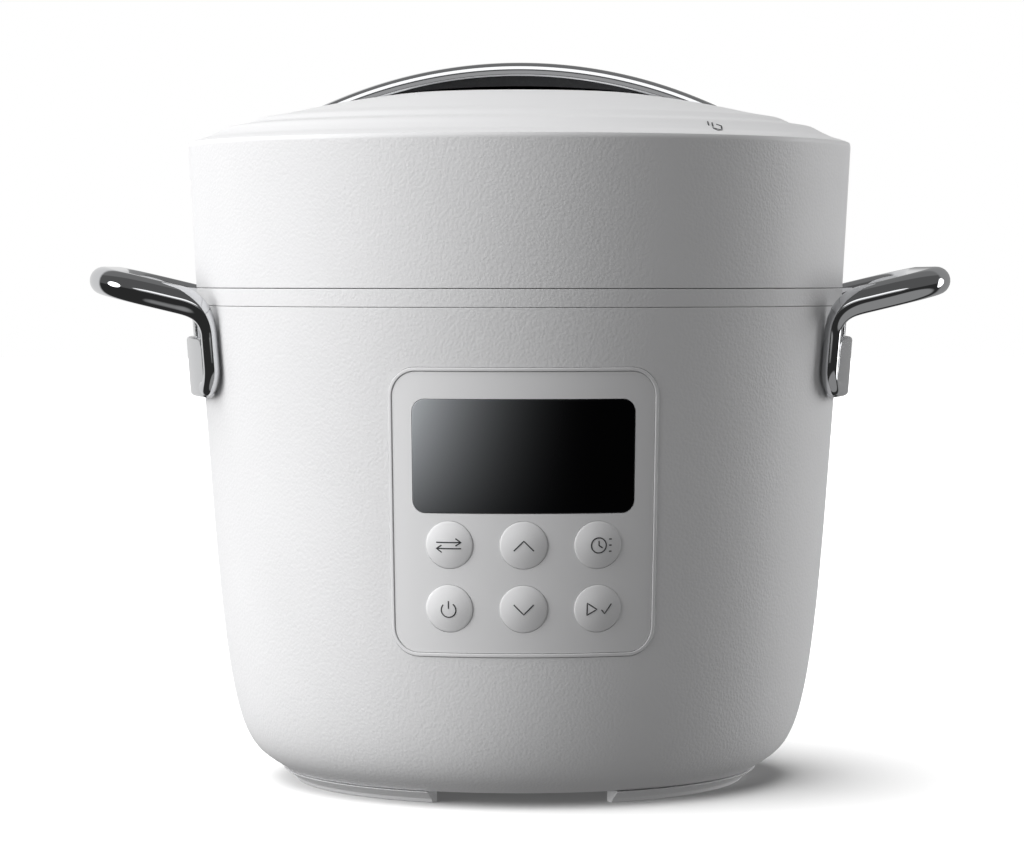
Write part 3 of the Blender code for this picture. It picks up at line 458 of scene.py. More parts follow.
def sliced(obj: bpy.types.Object, across: float, up: float) -> bpy.types.Object:
    """Cuts a flat piece along upright and level planes, so that it can follow a curve.

    Args:
        obj: the piece.
        across: distance between the upright cuts.
        up: distance between the level cuts.

    Returns:
        The same piece.
    """
    only(obj)
    corners = [vertex.co for vertex in obj.data.vertices]

    def cut() -> None:
        """Bisects the mesh at each plane."""
        for axis, pitch in ((0, across), (2, up)):
            low, high = min(c[axis] for c in corners), max(c[axis] for c in corners)
            count = max(1, round((high - low) / pitch))
            for step in range(1, count):
                place = low + (high - low) * (step + 0.013) / count
                at = [0.0, 0.0, 0.0]
                normal = [0.0, 0.0, 0.0]
                at[axis], normal[axis] = place, 1.0
                bpy.ops.mesh.select_all(action="SELECT")
                bpy.ops.mesh.bisect(plane_co=at, plane_no=normal)

    edit(cut)
    return obj


def wrapped(obj: bpy.types.Object, azimuth: float = 0.0) -> bpy.types.Object:
    """Bends a flat piece round the casing: x runs along the surface, and y is the depth below it.

    Args:
        obj: the flat piece.
        azimuth: where its middle goes.

    Returns:
        The same piece.
    """
    middle = BODY.radius(101.4 * MM)
    for vertex in obj.data.vertices:
        x, depth, z = vertex.co
        angle = azimuth + x / (0.4 * middle + 0.6 * BODY.radius(z))
        radius = BODY.radius(z) - depth
        vertex.co = (radius * math.sin(angle), -radius * math.cos(angle), z)
    return obj


def combine(
    obj: bpy.types.Object, others: Sequence[bpy.types.Object], operation: Operation
) -> bpy.types.Object:
    """Cuts other shapes from a piece, or fuses them with it.

    Args:
        obj: the piece.
        others: the shapes, which are used up.
        operation: what to do with them.

    Returns:
        The same piece.
    """
    for other in others:
        only(obj)
        modifier = obj.modifiers.new(operation.name.lower(), "BOOLEAN")
        modifier.operation = operation.value
        modifier.solver = "EXACT"
        modifier.object = other
        bpy.ops.object.modifier_apply(modifier=modifier.name)
        bpy.data.objects.remove(other, do_unlink=True)
    return obj


def gathered(name: str, parts: Sequence[bpy.types.Object]) -> bpy.types.Object:
    """Joins parts into one piece.

    Args:
        name: the piece's name.
        parts: what it is made of.

    Returns:
        The joined piece.
    """
    only(parts[0])
    for part in parts:
        part.select_set(True)
    bpy.ops.object.join()
    obj = bpy.context.object
    obj.name = obj.data.name = name
    return obj


def copy_of(obj: bpy.types.Object, name: str, matrix: Matrix) -> bpy.types.Object:
    """A copy of a piece with a mesh of its own, moved by a matrix.

    Args:
        obj: the piece to copy.
        name: the copy's name.
        matrix: where the copy goes.

    Returns:
        The copy.
    """
    only(obj)
    bpy.ops.object.duplicate(linked=False)
    twin = bpy.context.object
    twin.name = twin.data.name = name
    return move(twin, matrix @ twin.matrix_world)


def edged(obj: bpy.types.Object, width: float, segments: int = 3, angle: float = 40.0) -> None:
    """Rounds a piece's sharp edges.

    Args:
        obj: the piece.
        width: how wide the rounding is.
        segments: how many steps it takes.
        angle: how sharp an edge must be, in degrees.
    """
    only(obj)
    bevel = obj.modifiers.new("edges", "BEVEL")
    bevel.width = width
    bevel.segments = segments
    bevel.limit_method = "ANGLE"
    bevel.angle_limit = math.radians(angle)
    bevel.use_clamp_overlap = True
    bpy.ops.object.modifier_apply(modifier=bevel.name)


def bar(
    name: str, points: Sequence[Place], radii: Sequence[float], roundness: int = 3, closed: bool = False
) -> bpy.types.Object:
    """A round bar along a line, with its own radius at each point.

    Args:
        name: the piece's name.
        points: the bar's centre line.
        radii: its radius at each point.
        roundness: detail of its section.
        closed: whether the line comes back to its start.

    Returns:
        The bar as a mesh.
    """
    obj = drawn(name, points, closed)
    only(obj)
    bpy.ops.object.convert(target="CURVE")
    curve = obj.data
    curve.bevel_depth = 1.0
    curve.bevel_resolution = roundness
    curve.use_fill_caps = True
    for spline in curve.splines:
        for point in spline.points:
            nearest = min(
                range(len(points)), key=lambda i: (Vector(points[i]) - point.co.xyz).length
            )
            point.radius = radii[nearest]
    bpy.ops.object.convert(target="MESH")
    obj = bpy.context.object
    obj.name = obj.data.name = name

    def tidy() -> None:
        """Closes the seams and turns the faces out."""
        bpy.ops.mesh.remove_doubles(threshold=0.001 * MM)
        bpy.ops.mesh.normals_make_consistent(inside=False)

    edit(tidy)
    return obj


def present(
    obj: bpy.types.Object,
    body: str,
    materials: Sequence[bpy.types.Material],
    stands_for: Sequence[str] = (),
    sharp: float = 35.0,
) -> bpy.types.Object:
    """Finishes a piece: smooth faces, its materials, the body it moves with and what it stands for.

    Args:
        obj: the piece.
        body: the CAD body it rides on.
        materials: its materials; the first one covers it unless faces name another.
        stands_for: the CAD nodes that it replaces.
        sharp: edges sharper than this many degrees stay crisp.

    Returns:
        The same piece.
    """
    only(obj)
    indices = [face.material_index for face in obj.data.polygons]
    obj.data.materials.clear()
    for material in materials:
        obj.data.materials.append(material)
    for face, index in zip(obj.data.polygons, indices):
        face.material_index = min(index, len(materials) - 1)
    bpy.ops.object.shade_smooth_by_angle(angle=math.radians(sharp))
    weigh = obj.modifiers.new("weigh", "WEIGHTED_NORMAL")
    weigh.keep_sharp = True
    bpy.ops.object.modifier_apply(modifier=weigh.name)
    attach(obj, body)
    if stands_for:
        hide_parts(*stands_for)
    LOG.info("%s on %s: %d faces", obj.name, body, len(obj.data.polygons))
    return obj


def paint(obj: bpy.types.Object, index: int, wanted: Callable[[bpy.types.MeshPolygon], bool]) -> None:
    """Gives some faces another of the piece's materials.

    Args:
        obj: the piece.
        index: which material.
        wanted: says whether a face takes it.
    """
    for face in obj.data.polygons:
        if wanted(face):
            face.material_index = index


# ---------------------------------------------------------------- finishes


def linear(colour: str) -> tuple[float, float, float, float]:
    """Turns an sRGB hex colour to linear.

    Args:
        colour: such as "#E8E8E6".

    Returns:
        Red, green, blue and an alpha of 1.
    """
    values = [int(colour[i : i + 2], 16) / 255 for i in (1, 3, 5)]
    return (*(v / 12.92 if v <= 0.04045 else ((v + 0.055) / 1.055) ** 2.4 for v in values), 1.0)


def add_node(
    tree: bpy.types.NodeTree,
    kind: str,
    settings: dict[str, object] | None = None,
    links: dict[str | int, object] | None = None,
) -> bpy.types.Node:
    """Adds a node with its settings and links.

    Args:
        tree: the node tree.
        kind: the node's type.
        settings: properties of the node, or default values of its inputs.
        links: for each input, the output that feeds it.

    Returns:
        The node.
    """
    node = tree.nodes.new(kind)
    for name, value in (settings or {}).items():
        if isinstance(name, int) or name in node.inputs:
            node.inputs[name].default_value = value
        else:
            setattr(node, name, value)
    for name, output in (links or {}).items():
        tree.links.new(output, node.inputs[name])
    return node


def new_material(name: str) -> tuple[bpy.types.Material, bpy.types.NodeTree, bpy.types.Node, object]:
    """Starts a material.

    Args:
        name: what it is made of, and how.

    Returns:
        The material, its node tree, its main shader and the Object coordinates.
    """
    material = bpy.data.materials.new(name)
    material.use_nodes = True
    tree = material.node_tree
    place = add_node(tree, "ShaderNodeTexCoord").outputs["Object"]
    return material, tree, tree.nodes["Principled BSDF"], place


@dataclass(frozen=True)
class MouldedPlastic:
    """White ABS from a textured mould. Its grain breaks the highlights up into a soft satin."""

    name: str = "abs_moulded_leather_grain"
    colour: str = "#ECECED"
    shade: str = "#E6E6E7"
    roughness: float = 0.5
    grain: float = 1.1 * MM
    depth: float = 0.075 * MM

    def build(self) -> bpy.types.Material:
        """Makes the material: pebbles in two sizes raise the surface, and a slow drift tints it."""
        material, tree, shader, place = new_material(self.name)
        drift = add_node(
            tree, "ShaderNodeTexNoise", {"Scale": 1 / (40 * MM), "Detail": 2.0}, {"Vector": place}
        )
        tint = add_node(
            tree,
            "ShaderNodeMix",
            {"data_type": "RGBA", 6: linear(self.colour), 7: linear(self.shade)},
            {0: drift.outputs[0]},
        )
        tree.links.new(tint.outputs[2], shader.inputs["Base Color"])
        shader.inputs["Roughness"].default_value = self.roughness
        if self.depth:
            bend = add_node(
                tree, "ShaderNodeTexNoise", {"Scale": 1 / (2.2 * self.grain)}, {"Vector": place}
            )
            swirl = add_node(
                tree,
                "ShaderNodeVectorMath",
                {"operation": "MULTIPLY_ADD", 1: (0.9 * self.grain,) * 3},
                {0: bend.outputs["Color"], 2: place},
            )
            pebbles = add_node(
                tree,
                "ShaderNodeTexVoronoi",
                {"feature": "SMOOTH_F1", "Scale": 1 / self.grain, "Smoothness": 0.5},
                {"Vector": swirl.outputs[0]},
            )
            fine = add_node(
                tree,
                "ShaderNodeTexNoise",
                {"Scale": 2.4 / self.grain, "Detail": 3.0, "Roughness": 0.6},
                {"Vector": place},
            )
            height = add_node(
                tree,
                "ShaderNodeMath",
                {"operation": "MULTIPLY_ADD", 1: 0.5},
                {0: fine.outputs[0], 2: pebbles.outputs["Distance"]},
            )
            bump = add_node(
                tree,
                "ShaderNodeBump",
                {"Distance": self.depth, "Strength": 1.0, "invert": True},
                {"Height": height.outputs[0]},
            )
            tree.links.new(bump.outputs[0], shader.inputs["Normal"])
        return material


@dataclass(frozen=True)
class SatinPlastic:
    """White ABS from a smooth mould. It shows soft, wide highlights with the faintest ripple."""

    name: str = "abs_moulded_satin"
    colour: str = "#EDEDEE"
    roughness: float = 0.38
    ripple: float = 6.0 * MM
    depth: float = 0.006 * MM

    def build(self) -> bpy.types.Material:
        """Makes the material: flow ripples in the surface, and a small drift in its gloss."""
        material, tree, shader, place = new_material(self.name)
        shader.inputs["Base Color"].default_value = linear(self.colour)
        flow = add_node(
            tree, "ShaderNodeTexNoise", {"Scale": 1 / self.ripple, "Detail": 4.0}, {"Vector": place}
        )
        gloss = add_node(
            tree,
            "ShaderNodeMapRange",
            {3: self.roughness - 0.03, 4: self.roughness + 0.05},
            {0: flow.outputs[0]},
        )
        bump = add_node(
            tree,
            "ShaderNodeBump",
            {"Distance": self.depth, "Strength": 0.6},
            {"Height": flow.outputs[0]},
        )
        tree.links.new(gloss.outputs[0], shader.inputs["Roughness"])
        tree.links.new(bump.outputs[0], shader.inputs["Normal"])
        return material


@dataclass(frozen=True)
class SmokedAcrylic:
    """Polished acrylic printed black behind, with a painted reflection of the studio: grey at the upper left, fading
    to black.
    """

    name: str = "acrylic_back_printed_with_painted_reflection"
    dark: str = "#020203"
    # The grey is a painted reflection; left, right, low and high bound where it fades.
    painted_reflection_grey: str = "#C4C8CC"
    left: float = -40.0 * MM
    right: float = 30.0 * MM
    low: float = 101.0 * MM
    high: float = 140.0 * MM

    def build(self) -> bpy.types.Material:
        """Makes the material: the painted reflection fades from grey at the upper left to black at the lower right,
        and dims lower down.
        """
        material, tree, shader, place = new_material(self.name)
        # Painted reflection: a grey fade in the base colour stands in for the studio mirrored in the glass.
        parts = add_node(tree, "ShaderNodeSeparateXYZ", {}, {0: place})
        across = add_node(
            tree,
            "ShaderNodeMapRange",
            {"interpolation_type": "LINEAR", 1: self.right, 2: self.left, 3: 0.0, 4: 1.0},
            {0: parts.outputs[0]},
        )
        up = add_node(
            tree,
            "ShaderNodeMapRange",
            {1: self.low, 2: self.high, 3: 0.24, 4: 1.0},
            {0: parts.outputs[2]},
        )
        reflection_falloff = add_node(
            tree, "ShaderNodeMath", {"operation": "POWER", 1: 3.1}, {0: across.outputs[0]}
        )
        amount = add_node(
            tree,
            "ShaderNodeMath",
            {"operation": "MULTIPLY", "use_clamp": True},
            {0: reflection_falloff.outputs[0], 1: up.outputs[0]},
        )
        tint = add_node(
            tree,
            "ShaderNodeMix",
            {"data_type": "RGBA", 6: linear(self.dark), 7: linear(self.painted_reflection_grey)},
            {0: amount.outputs[0]},
        )
        tree.links.new(tint.outputs[2], shader.inputs["Base Color"])
        shader.inputs["Roughness"].default_value = 0.08
        shader.inputs["IOR"].default_value = 1.49
        shader.inputs["Specular IOR Level"].default_value = 0.3
        return material


@dataclass(frozen=True)
class PlatedMetal:
    """Metal with a plated or worked surface. Fine waves and a drift in gloss keep it from looking drawn."""

    name: str = "zinc_die_cast_chrome_plated"
    colour: str = "#D9DADC"
    roughness: float = 0.02
    spread: float = 0.02
    wave: float = 14.0 * MM
    depth: float = 0.003 * MM

    def build(self) -> bpy.types.Material:
        """Makes the material: a slow wave from casting under the plating, and hairline wear in its gloss."""
        material, tree, shader, place = new_material(self.name)
        shader.inputs["Base Color"].default_value = linear(self.colour)
        shader.inputs["Metallic"].default_value = 1.0
        cast = add_node(tree, "ShaderNodeTexNoise", {"Scale": 1 / self.wave}, {"Vector": place})
        wear = add_node(
            tree,
            "ShaderNodeTexNoise",
            {"Scale": 1 / (1.2 * MM), "Detail": 5.0, "Roughness": 0.7},
            {"Vector": place},
        )
        gloss = add_node(
            tree,
            "ShaderNodeMapRange",
            {1: 0.35, 2: 0.75, 3: self.roughness, 4: self.roughness + self.spread},
            {0: wear.outputs[0]},
        )
        bump = add_node(
            tree,
            "ShaderNodeBump",
            {"Distance": self.depth, "Strength": 0.5},
            {"Height": cast.outputs[0]},
        )
        tree.links.new(gloss.outputs[0], shader.inputs["Roughness"])
        tree.links.new(bump.outputs[0], shader.inputs["Normal"])
        return material


@dataclass(frozen=True)
class SpunMetal:
    """Sheet metal finished on a lathe. Fine rings round the axis stretch its highlights into fans."""

    name: str = "stainless_steel_spun_brushed"
    colour: str = "#C4C5C6"
    roughness: float = 0.28
    ring: float = 0.7 * MM
    depth: float = 0.012 * MM

    def build(self) -> bpy.types.Material:
        """Makes the material: noise on the distance from the axis and on the height draws the rings."""
        material, tree, shader, place = new_material(self.name)
        shader.inputs["Metallic"].default_value = 1.0
        parts = add_node(tree, "ShaderNodeSeparateXYZ", {}, {0: place})
        flat = add_node(
            tree, "ShaderNodeCombineXYZ", {}, {0: parts.outputs[0], 1: parts.outputs[1]}
        )
        reach = add_node(
            tree, "ShaderNodeVectorMath", {"operation": "LENGTH"}, {0: flat.outputs[0]}
        )
        rings = add_node(
            tree, "ShaderNodeCombineXYZ", {}, {0: reach.outputs["Value"], 2: parts.outputs[2]}
        )
        lines = add_node(
            tree,
            "ShaderNodeTexNoise",
            {"Scale": 1 / self.ring, "Detail": 4.0, "Roughness": 0.65},
            {"Vector": rings.outputs[0]},
        )
        marks = add_node(
            tree, "ShaderNodeTexNoise", {"Scale": 1 / (9 * MM), "Detail": 3.0}, {"Vector": place}
        )
        tint = add_node(
            tree,
            "ShaderNodeMix",
            {"data_type": "RGBA", 6: linear(self.colour), 7: linear("#AEB0B2")},
            {0: marks.outputs[0]},
        )
        gloss = add_node(
            tree,
            "ShaderNodeMapRange",
            {1: 0.3, 2: 0.7, 3: self.roughness - 0.06, 4: self.roughness + 0.1},
            {0: lines.outputs[0]},
        )
        bump = add_node(
            tree,
            "ShaderNodeBump",
            {"Distance": self.depth, "Strength": 0.7},
            {"Height": lines.outputs[0]},
        )
        tree.links.new(tint.outputs[2], shader.inputs["Base Color"])
        tree.links.new(gloss.outputs[0], shader.inputs["Roughness"])
        tree.links.new(bump.outputs[0], shader.inputs["Normal"])
        return material


@dataclass(frozen=True)
class SprayedCoating:
    """A sprayed coat. Mist from the gun leaves fine specks and an even, low sheen."""

    name: str = "ptfe_sprayed_speckled"
    colour: str = "#2B2C2E"
    speck: str = "#5B5D60"
    roughness: float = 0.42
    grain: float = 0.9 * MM
    amount: float = 0.12

    def build(self) -> bpy.types.Material:
        """Makes the material: cells that pass a threshold become specks, and all of them lift the skin."""
        material, tree, shader, place = new_material(self.name)
        cells = add_node(
            tree, "ShaderNodeTexVoronoi", {"Scale": 1 / self.grain}, {"Vector": place}
        )
        chosen = add_node(
            tree,
            "ShaderNodeMapRange",
            {1: 1 - self.amount, 2: 1.0, 3: 0.0, 4: 0.8},
            {0: cells.outputs["Color"]},
        )
        tint = add_node(
            tree,
            "ShaderNodeMix",
            {"data_type": "RGBA", 6: linear(self.colour), 7: linear(self.speck)},
            {0: chosen.outputs[0]},
        )
        bump = add_node(
            tree,
            "ShaderNodeBump",
            {"Distance": 0.02 * MM, "Strength": 0.5},
            {"Height": cells.outputs["Distance"]},
        )
        tree.links.new(tint.outputs[2], shader.inputs["Base Color"])
        tree.links.new(bump.outputs[0], shader.inputs["Normal"])
        shader.inputs["Roughness"].default_value = self.roughness
        return material


@dataclass(frozen=True)
class MouldedSilicone:
    """Cured silicone. Light goes a little way in, so that it looks milky and soft."""

    name: str = "silicone_moulded_milky"
    colour: str = "#D9DAD6"

    def build(self) -> bpy.types.Material:
        """Makes the material: a slow clouding in its colour and a matt, faintly dusty skin."""
        material, tree, shader, place = new_material(self.name)
        cloud = add_node(
            tree, "ShaderNodeTexNoise", {"Scale": 1 / (7 * MM), "Detail": 3.0}, {"Vector": place}
        )
        tint = add_node(
            tree,
            "ShaderNodeMix",
            {"data_type": "RGBA", 6: linear(self.colour), 7: linear("#C8C9C4")},
            {0: cloud.outputs[0]},
        )
        tree.links.new(tint.outputs[2], shader.inputs["Base Color"])
        shader.inputs["Roughness"].default_value = 0.55
        shader.inputs["Subsurface Weight"].default_value = 0.15
        shader.inputs["Subsurface Scale"].default_value = 1.5 * MM
        return material


@dataclass(frozen=True)
class CircuitBoard:
    """Glass-epoxy laminate under a green solder mask, with copper tracks and dark parts standing on it."""

    name: str = "fr4_laminate_solder_mask"
    track: float = 2.4 * MM
    parts_above: float = 13.2 * MM

    def build(self) -> bpy.types.Material:
        """Makes the material: square cells draw the tracks, and what stands above the board is dark."""
        material, tree, shader, place = new_material(self.name)
        cells = add_node(
            tree,
            "ShaderNodeTexVoronoi",
            {"distance": "CHEBYCHEV", "Scale": 1 / self.track, "feature": "F1"},
            {"Vector": place},
        )
        copper = add_node(
            tree, "ShaderNodeMapRange", {1: 0.30, 2: 0.36}, {0: cells.outputs["Distance"]}
        )
        green = add_node(
            tree,
            "ShaderNodeMix",
            {"data_type": "RGBA", 6: linear("#1E5A33"), 7: linear("#17452A")},
            {0: copper.outputs[0]},
        )
        height = add_node(tree, "ShaderNodeSeparateXYZ", {}, {0: place})
        above = add_node(
            tree,
            "ShaderNodeMath",
            {"operation": "COMPARE", 1: self.parts_above + 7 * MM, 2: 7 * MM},
            {0: height.outputs[2]},
        )
        tint = add_node(
            tree,
            "ShaderNodeMix",
            {"data_type": "RGBA", 7: linear("#232426")},
            {0: above.outputs[0], 6: green.outputs[2]},
        )
        tree.links.new(tint.outputs[2], shader.inputs["Base Color"])
        shader.inputs["Roughness"].default_value = 0.35
        return material


@dataclass(frozen=True)
class PrintingInk:
    """Grey pad-printing ink. It lies flat and dull on the gloss round it."""

    name: str = "ink_pad_printed_grey"
    colour: str = "#2C2D2F"

    def build(self) -> bpy.types.Material:
        """Makes the material: the pad's pressure leaves a slight unevenness in the ink."""
        material, tree, shader, place = new_material(self.name)
        cover = add_node(
            tree, "ShaderNodeTexNoise", {"Scale": 1 / (0.4 * MM), "Detail": 2.0}, {"Vector": place}
        )
        tint = add_node(
            tree,
            "ShaderNodeMix",
            {"data_type": "RGBA", 6: linear(self.colour), 7: linear("#38393B")},
            {0: cover.outputs[0]},
        )
        tree.links.new(tint.outputs[2], shader.inputs["Base Color"])
        shader.inputs["Roughness"].default_value = 0.6
        return material


@dataclass
class Finishes:
    """The finishes, each built once."""

    grained: bpy.types.Material = field(default_factory=lambda: MouldedPlastic().build())
    satin: bpy.types.Material = field(default_factory=lambda: SatinPlastic().build())
    acrylic: bpy.types.Material = field(default_factory=lambda: SmokedAcrylic().build())
    chrome: bpy.types.Material = field(default_factory=lambda: PlatedMetal().build())
    satin_chrome: bpy.types.Material = field(
        default_factory=lambda: PlatedMetal(
            "zinc_die_cast_satin_chrome", "#CFD0D2", 0.16, 0.06, 9 * MM, 0.006 * MM
        ).build()
    )
    steel: bpy.types.Material = field(default_factory=lambda: SpunMetal().build())
    cast_alloy: bpy.types.Material = field(
        default_factory=lambda: SpunMetal(
            "aluminium_cast_turned", "#A9ABAD", 0.4, 1.1 * MM, 0.03 * MM
        ).build()
    )
    galvanised: bpy.types.Material = field(
        default_factory=lambda: PlatedMetal(
            "steel_sheet_galvanised", "#A7ABAF", 0.35, 0.25, 5 * MM, 0.02 * MM
        ).build()
    )
    screw: bpy.types.Material = field(
        default_factory=lambda: PlatedMetal(
            "steel_zinc_plated", "#B9BABC", 0.24, 0.2, 3 * MM, 0.01 * MM
        ).build()
    )
    coating: bpy.types.Material = field(default_factory=lambda: SprayedCoating().build())
    # Dark plastic for the valve knob and the mains socket; also the painted shade block under the lid's strap.
    dark_plastic: bpy.types.Material = field(
        default_factory=lambda: SprayedCoating(
            "polyamide_moulded_eroded_and_painted_shade", "#1D1E20", "#2A2B2D", 0.5, 0.6 * MM, 0.5
        ).build()
    )
    silicone: bpy.types.Material = field(default_factory=lambda: MouldedSilicone().build())
    board: bpy.types.Material = field(default_factory=lambda: CircuitBoard().build())
    ink: bpy.types.Material = field(default_factory=lambda: PrintingInk().build())

    def dress(self, material: bpy.types.Material, *nodes: str) -> None:
        """Gives CAD nodes that keep their shape a better material.

        Args:
            material: the material.
            nodes: the nodes' names.
        """
        for name in nodes:
            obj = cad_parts[name]
            for slot in obj.material_slots:
                slot.material = material
            LOG.info("%s keeps its shape", name)


# ---------------------------------------------------------------- casing


@dataclass
class Casing:
    """The white outer body with its collar, base plate and feet."""

    finishes: Finishes
    wall: float = 2.2 * MM
    collar_z: float = 169.7 * MM
    groove: float = 0.13 * MM
    seam: float = 0.14 * MM
    well_out: float = 92.4 * MM
    panel_size: Point = (92.0 * MM, 97.0 * MM)
    panel_middle: float = 101.4 * MM
    panel_corner: float = 9.8 * MM
    foot_top: float = 4.3 * MM
    foot_gap: float = math.radians(22.5)
    base_wall: float = 2.4 * MM
    screw_ring: float = 66.0 * MM
    vents: int = 18

    def build(self) -> None:
        """Builds the casing from the top down."""
        self.make_body()
        self.make_collar()
        self.make_feet()
        self.make_base_plate()
        self.make_screws()

    def make_body(self) -> None:
        """The shell, with openings for the control panel and the mains inlet."""
        top_z = self.collar_z - self.groove
        top = (BODY.radius(top_z), top_z)
        straight = [
            (BODY.radius(z), z)
            for z in (top_z - (top_z - BODY.bend_z) * step / 8 for step in range(1, 8))
        ]
        heel = BODY.heel(36)
        rim = rounded([(top[0] - 2.0 * MM, top_z), top, (BODY.radius(top_z - 3 * MM), top_z - 3 * MM)], 0.25 * MM, 4)
        sole_in = BODY.sole_radius - 4.4 * MM
        inner = [(r - self.wall, z) for r, z in reversed([top, *straight, *heel[:-6]])]
        profile = [*rim[1:], *straight, *heel, (sole_in, BODY.sole_z), (sole_in, BODY.sole_z + self.base_wall), *inner]
        body = turned("casing_body", profile, 192, closed=True)
        grown = 0.2 * MM
        opening = plate(
            "panel_opening",
            (self.panel_size[0] + grown, self.panel_size[1] + grown),
            self.panel_corner + grown / 2,
            (0, self.panel_middle),
            (-4 * MM, 9 * MM),
            12,
        )
        wrapped(sliced(opening, 4 * MM, 8 * MM))
        socket = plate("socket_opening", (30.5 * MM, 16.5 * MM), 3 * MM, (0, 24.5 * MM), (70 * MM, 140 * MM))
        combine(body, [opening, socket], Operation.CUT)
        present(body, "base", [self.finishes.grained], ["outer_body"], 30)

    def make_collar(self) -> None:
        """The ring between the body and the lid, with a soft upper lip."""
        top, low = BODY.seam_z - self.seam, self.collar_z
        line = rounded(
            [
                (self.well_out, top - 2.5 * MM),
                (BODY.radius(top) - 6 * MM, top),
                (BODY.radius(top), top),
                (BODY.radius(low), low),
                (BODY.radius(low) - 4.2 * MM, low),
            ],
            0.3 * MM,
            4,
        )
        collar = turned("casing_collar", line, 192, closed=True)
        present(collar, "base", [self.finishes.grained], ["body_collar"])

    def make_feet(self) -> None:
        """Two curved feet, open at the front and the back."""
        outer = BODY.sole_radius + 1.2 * MM
        line = rounded(
            [
                (outer - 9.0 * MM, self.foot_top),
                (outer, self.foot_top),
                (outer - 4.2 * MM, 1.5 * MM),
                (outer - 5.2 * MM, 0.0),
                (outer - 9.0 * MM, 0.0),
            ],
            0.5 * MM,
        )
        for name, side in (("foot_left", -1), ("foot_right", 1)):
            start = self.foot_gap if side > 0 else math.pi + self.foot_gap
            foot = turned(
                f"casing_{name}", line, 96, closed=True, start=start, angle=math.pi - 2 * self.foot_gap
            )
            edged(foot, 0.35 * MM, 2, 60)
            present(foot, "base", [self.finishes.grained], [name])

    def make_base_plate(self) -> None:
        """The floor of the casing: a shallow dished disc with a ring of vents."""
        edge = BODY.sole_radius - 4.7 * MM
        low, high = BODY.sole_z, BODY.sole_z + self.base_wall
        line = rounded(
            [
                (0.0, high),
                (edge, high),
                (edge, low),
                (edge - 5 * MM, low),
                (edge - 6 * MM, low + 0.6 * MM),
                (24 * MM, low + 0.6 * MM),
                (23 * MM, low),
                (0.0, low),
            ],
            0.4 * MM,
        )
        base = turned("casing_base_plate", line, 96)
        slot = block("vent", (-1.4 * MM, 34 * MM, 0), (1.4 * MM, 54 * MM, 20 * MM))
        edit(lambda: bpy.ops.mesh.bevel(offset=0.3 * MM, segments=1, affect="EDGES") and None)
        turns = [Matrix.Rotation(math.tau * (i + 0.5) / self.vents, 4, "Z") for i in range(1, self.vents)]
        copies = [copy_of(slot, f"vent_{i}", turn) for i, turn in enumerate(turns)]
        move(slot, Matrix.Rotation(math.tau * 0.5 / self.vents, 4, "Z"))
        holes = [
            cylinder(f"bore_{i}", 2.3 * MM, (*place, 0), (*place, 20 * MM), 24)
            for i, place in enumerate(self.screw_places())
        ]
        combine(base, [gathered("vents", [slot, *copies]), *holes], Operation.CUT)
        present(base, "base", [self.finishes.grained], ["base_plate"])

    def screw_places(self) -> list[Point]:
        """Where the three base screws are."""
        turns = [math.radians(90 + 120 * index) for index in range(3)]
        return [(self.screw_ring * math.cos(a), self.screw_ring * math.sin(a)) for a in turns]

    def make_screws(self) -> None:
        """Pan-head screws with a cross recess, heads down."""
        head, seat, tip = 1.95 * MM, 4.3 * MM, 12.0 * MM
        line = rounded(
            [(0.0, head), (3.5 * MM, head + 0.3 * MM), (3.6 * MM, seat), (2 * MM, seat), (2 * MM, tip - 1 * MM), (0.0, tip)],
            0.5 * MM,
        )
        screw = turned("screw", line, 32)
        blades = [
            block("blade_a", (-0.45 * MM, -2.1 * MM, 0), (0.45 * MM, 2.1 * MM, head + 1.4 * MM)),
            block("blade_b", (-2.1 * MM, -0.45 * MM, 0), (2.1 * MM, 0.45 * MM, head + 1.4 * MM)),
        ]
        combine(screw, blades, Operation.CUT)
        for index, place in enumerate(self.screw_places()):
            name = f"base_screw_{index + 1}"
            twin = copy_of(screw, f"zinc_{name}", Matrix.Translation((*place, 0)))
            present(twin, "base", [self.finishes.screw], [name])
        bpy.data.objects.remove(screw, do_unlink=True)


# ---------------------------------------------------------------- control panel


class Icon(Enum):
    """What is printed on each button, as strokes in millimetres."""

    MODE = "mode"
    UP = "up"
    TIMER = "timer"
    CANCEL = "cancel"
    DOWN = "down"
    START = "start"

    def strokes(self) -> list[list[Point]]:
        """The lines of this icon, x to the right and y up."""
        if self is Icon.UP:
            return [[(-3.05, -1.55), (0, 1.5), (3.05, -1.55)]]
        if self is Icon.DOWN:
            return [[(-3.05, 1.55), (0, -1.5), (3.05, 1.55)]]
        if self is Icon.MODE:
            return [
                [(-3.9, 0.95), (3.7, 0.95)],
                [(2.2, 2.15), (3.9, 0.95), (2.2, -0.1)],
                [(3.9, -0.95), (-3.7, -0.95)],
                [(-2.2, 0.1), (-3.9, -0.95), (-2.2, -2.15)],
            ]
        if self is Icon.TIMER:
            ring = [
                (2.35 * math.cos(math.tau * i / 28), 2.35 * math.sin(math.tau * i / 28))
                for i in range(29)
            ]
            return [ring, [(0, 1.45), (0, 0), (1.15, -0.75)], [(3.3, 1.9), (4.1, 1.9)], [(3.3, 0), (4.1, 0)], [(3.3, -1.9), (4.1, -1.9)]]
        if self is Icon.CANCEL:
            ring = [
                (2.3 * math.sin(math.radians(a)), 2.3 * math.cos(math.radians(a)) - 0.2)
                for a in range(38, 323, 12)
            ]
            return [ring, [(0, 2.6), (0, 0.2)]]
        triangle = [(-3.6, 1.9), (-0.6, 0), (-3.6, -1.9), (-3.6, 1.9)]
        return [triangle, [(0.9, -0.2), (1.9, -1.4), (4.1, 1.6)]]


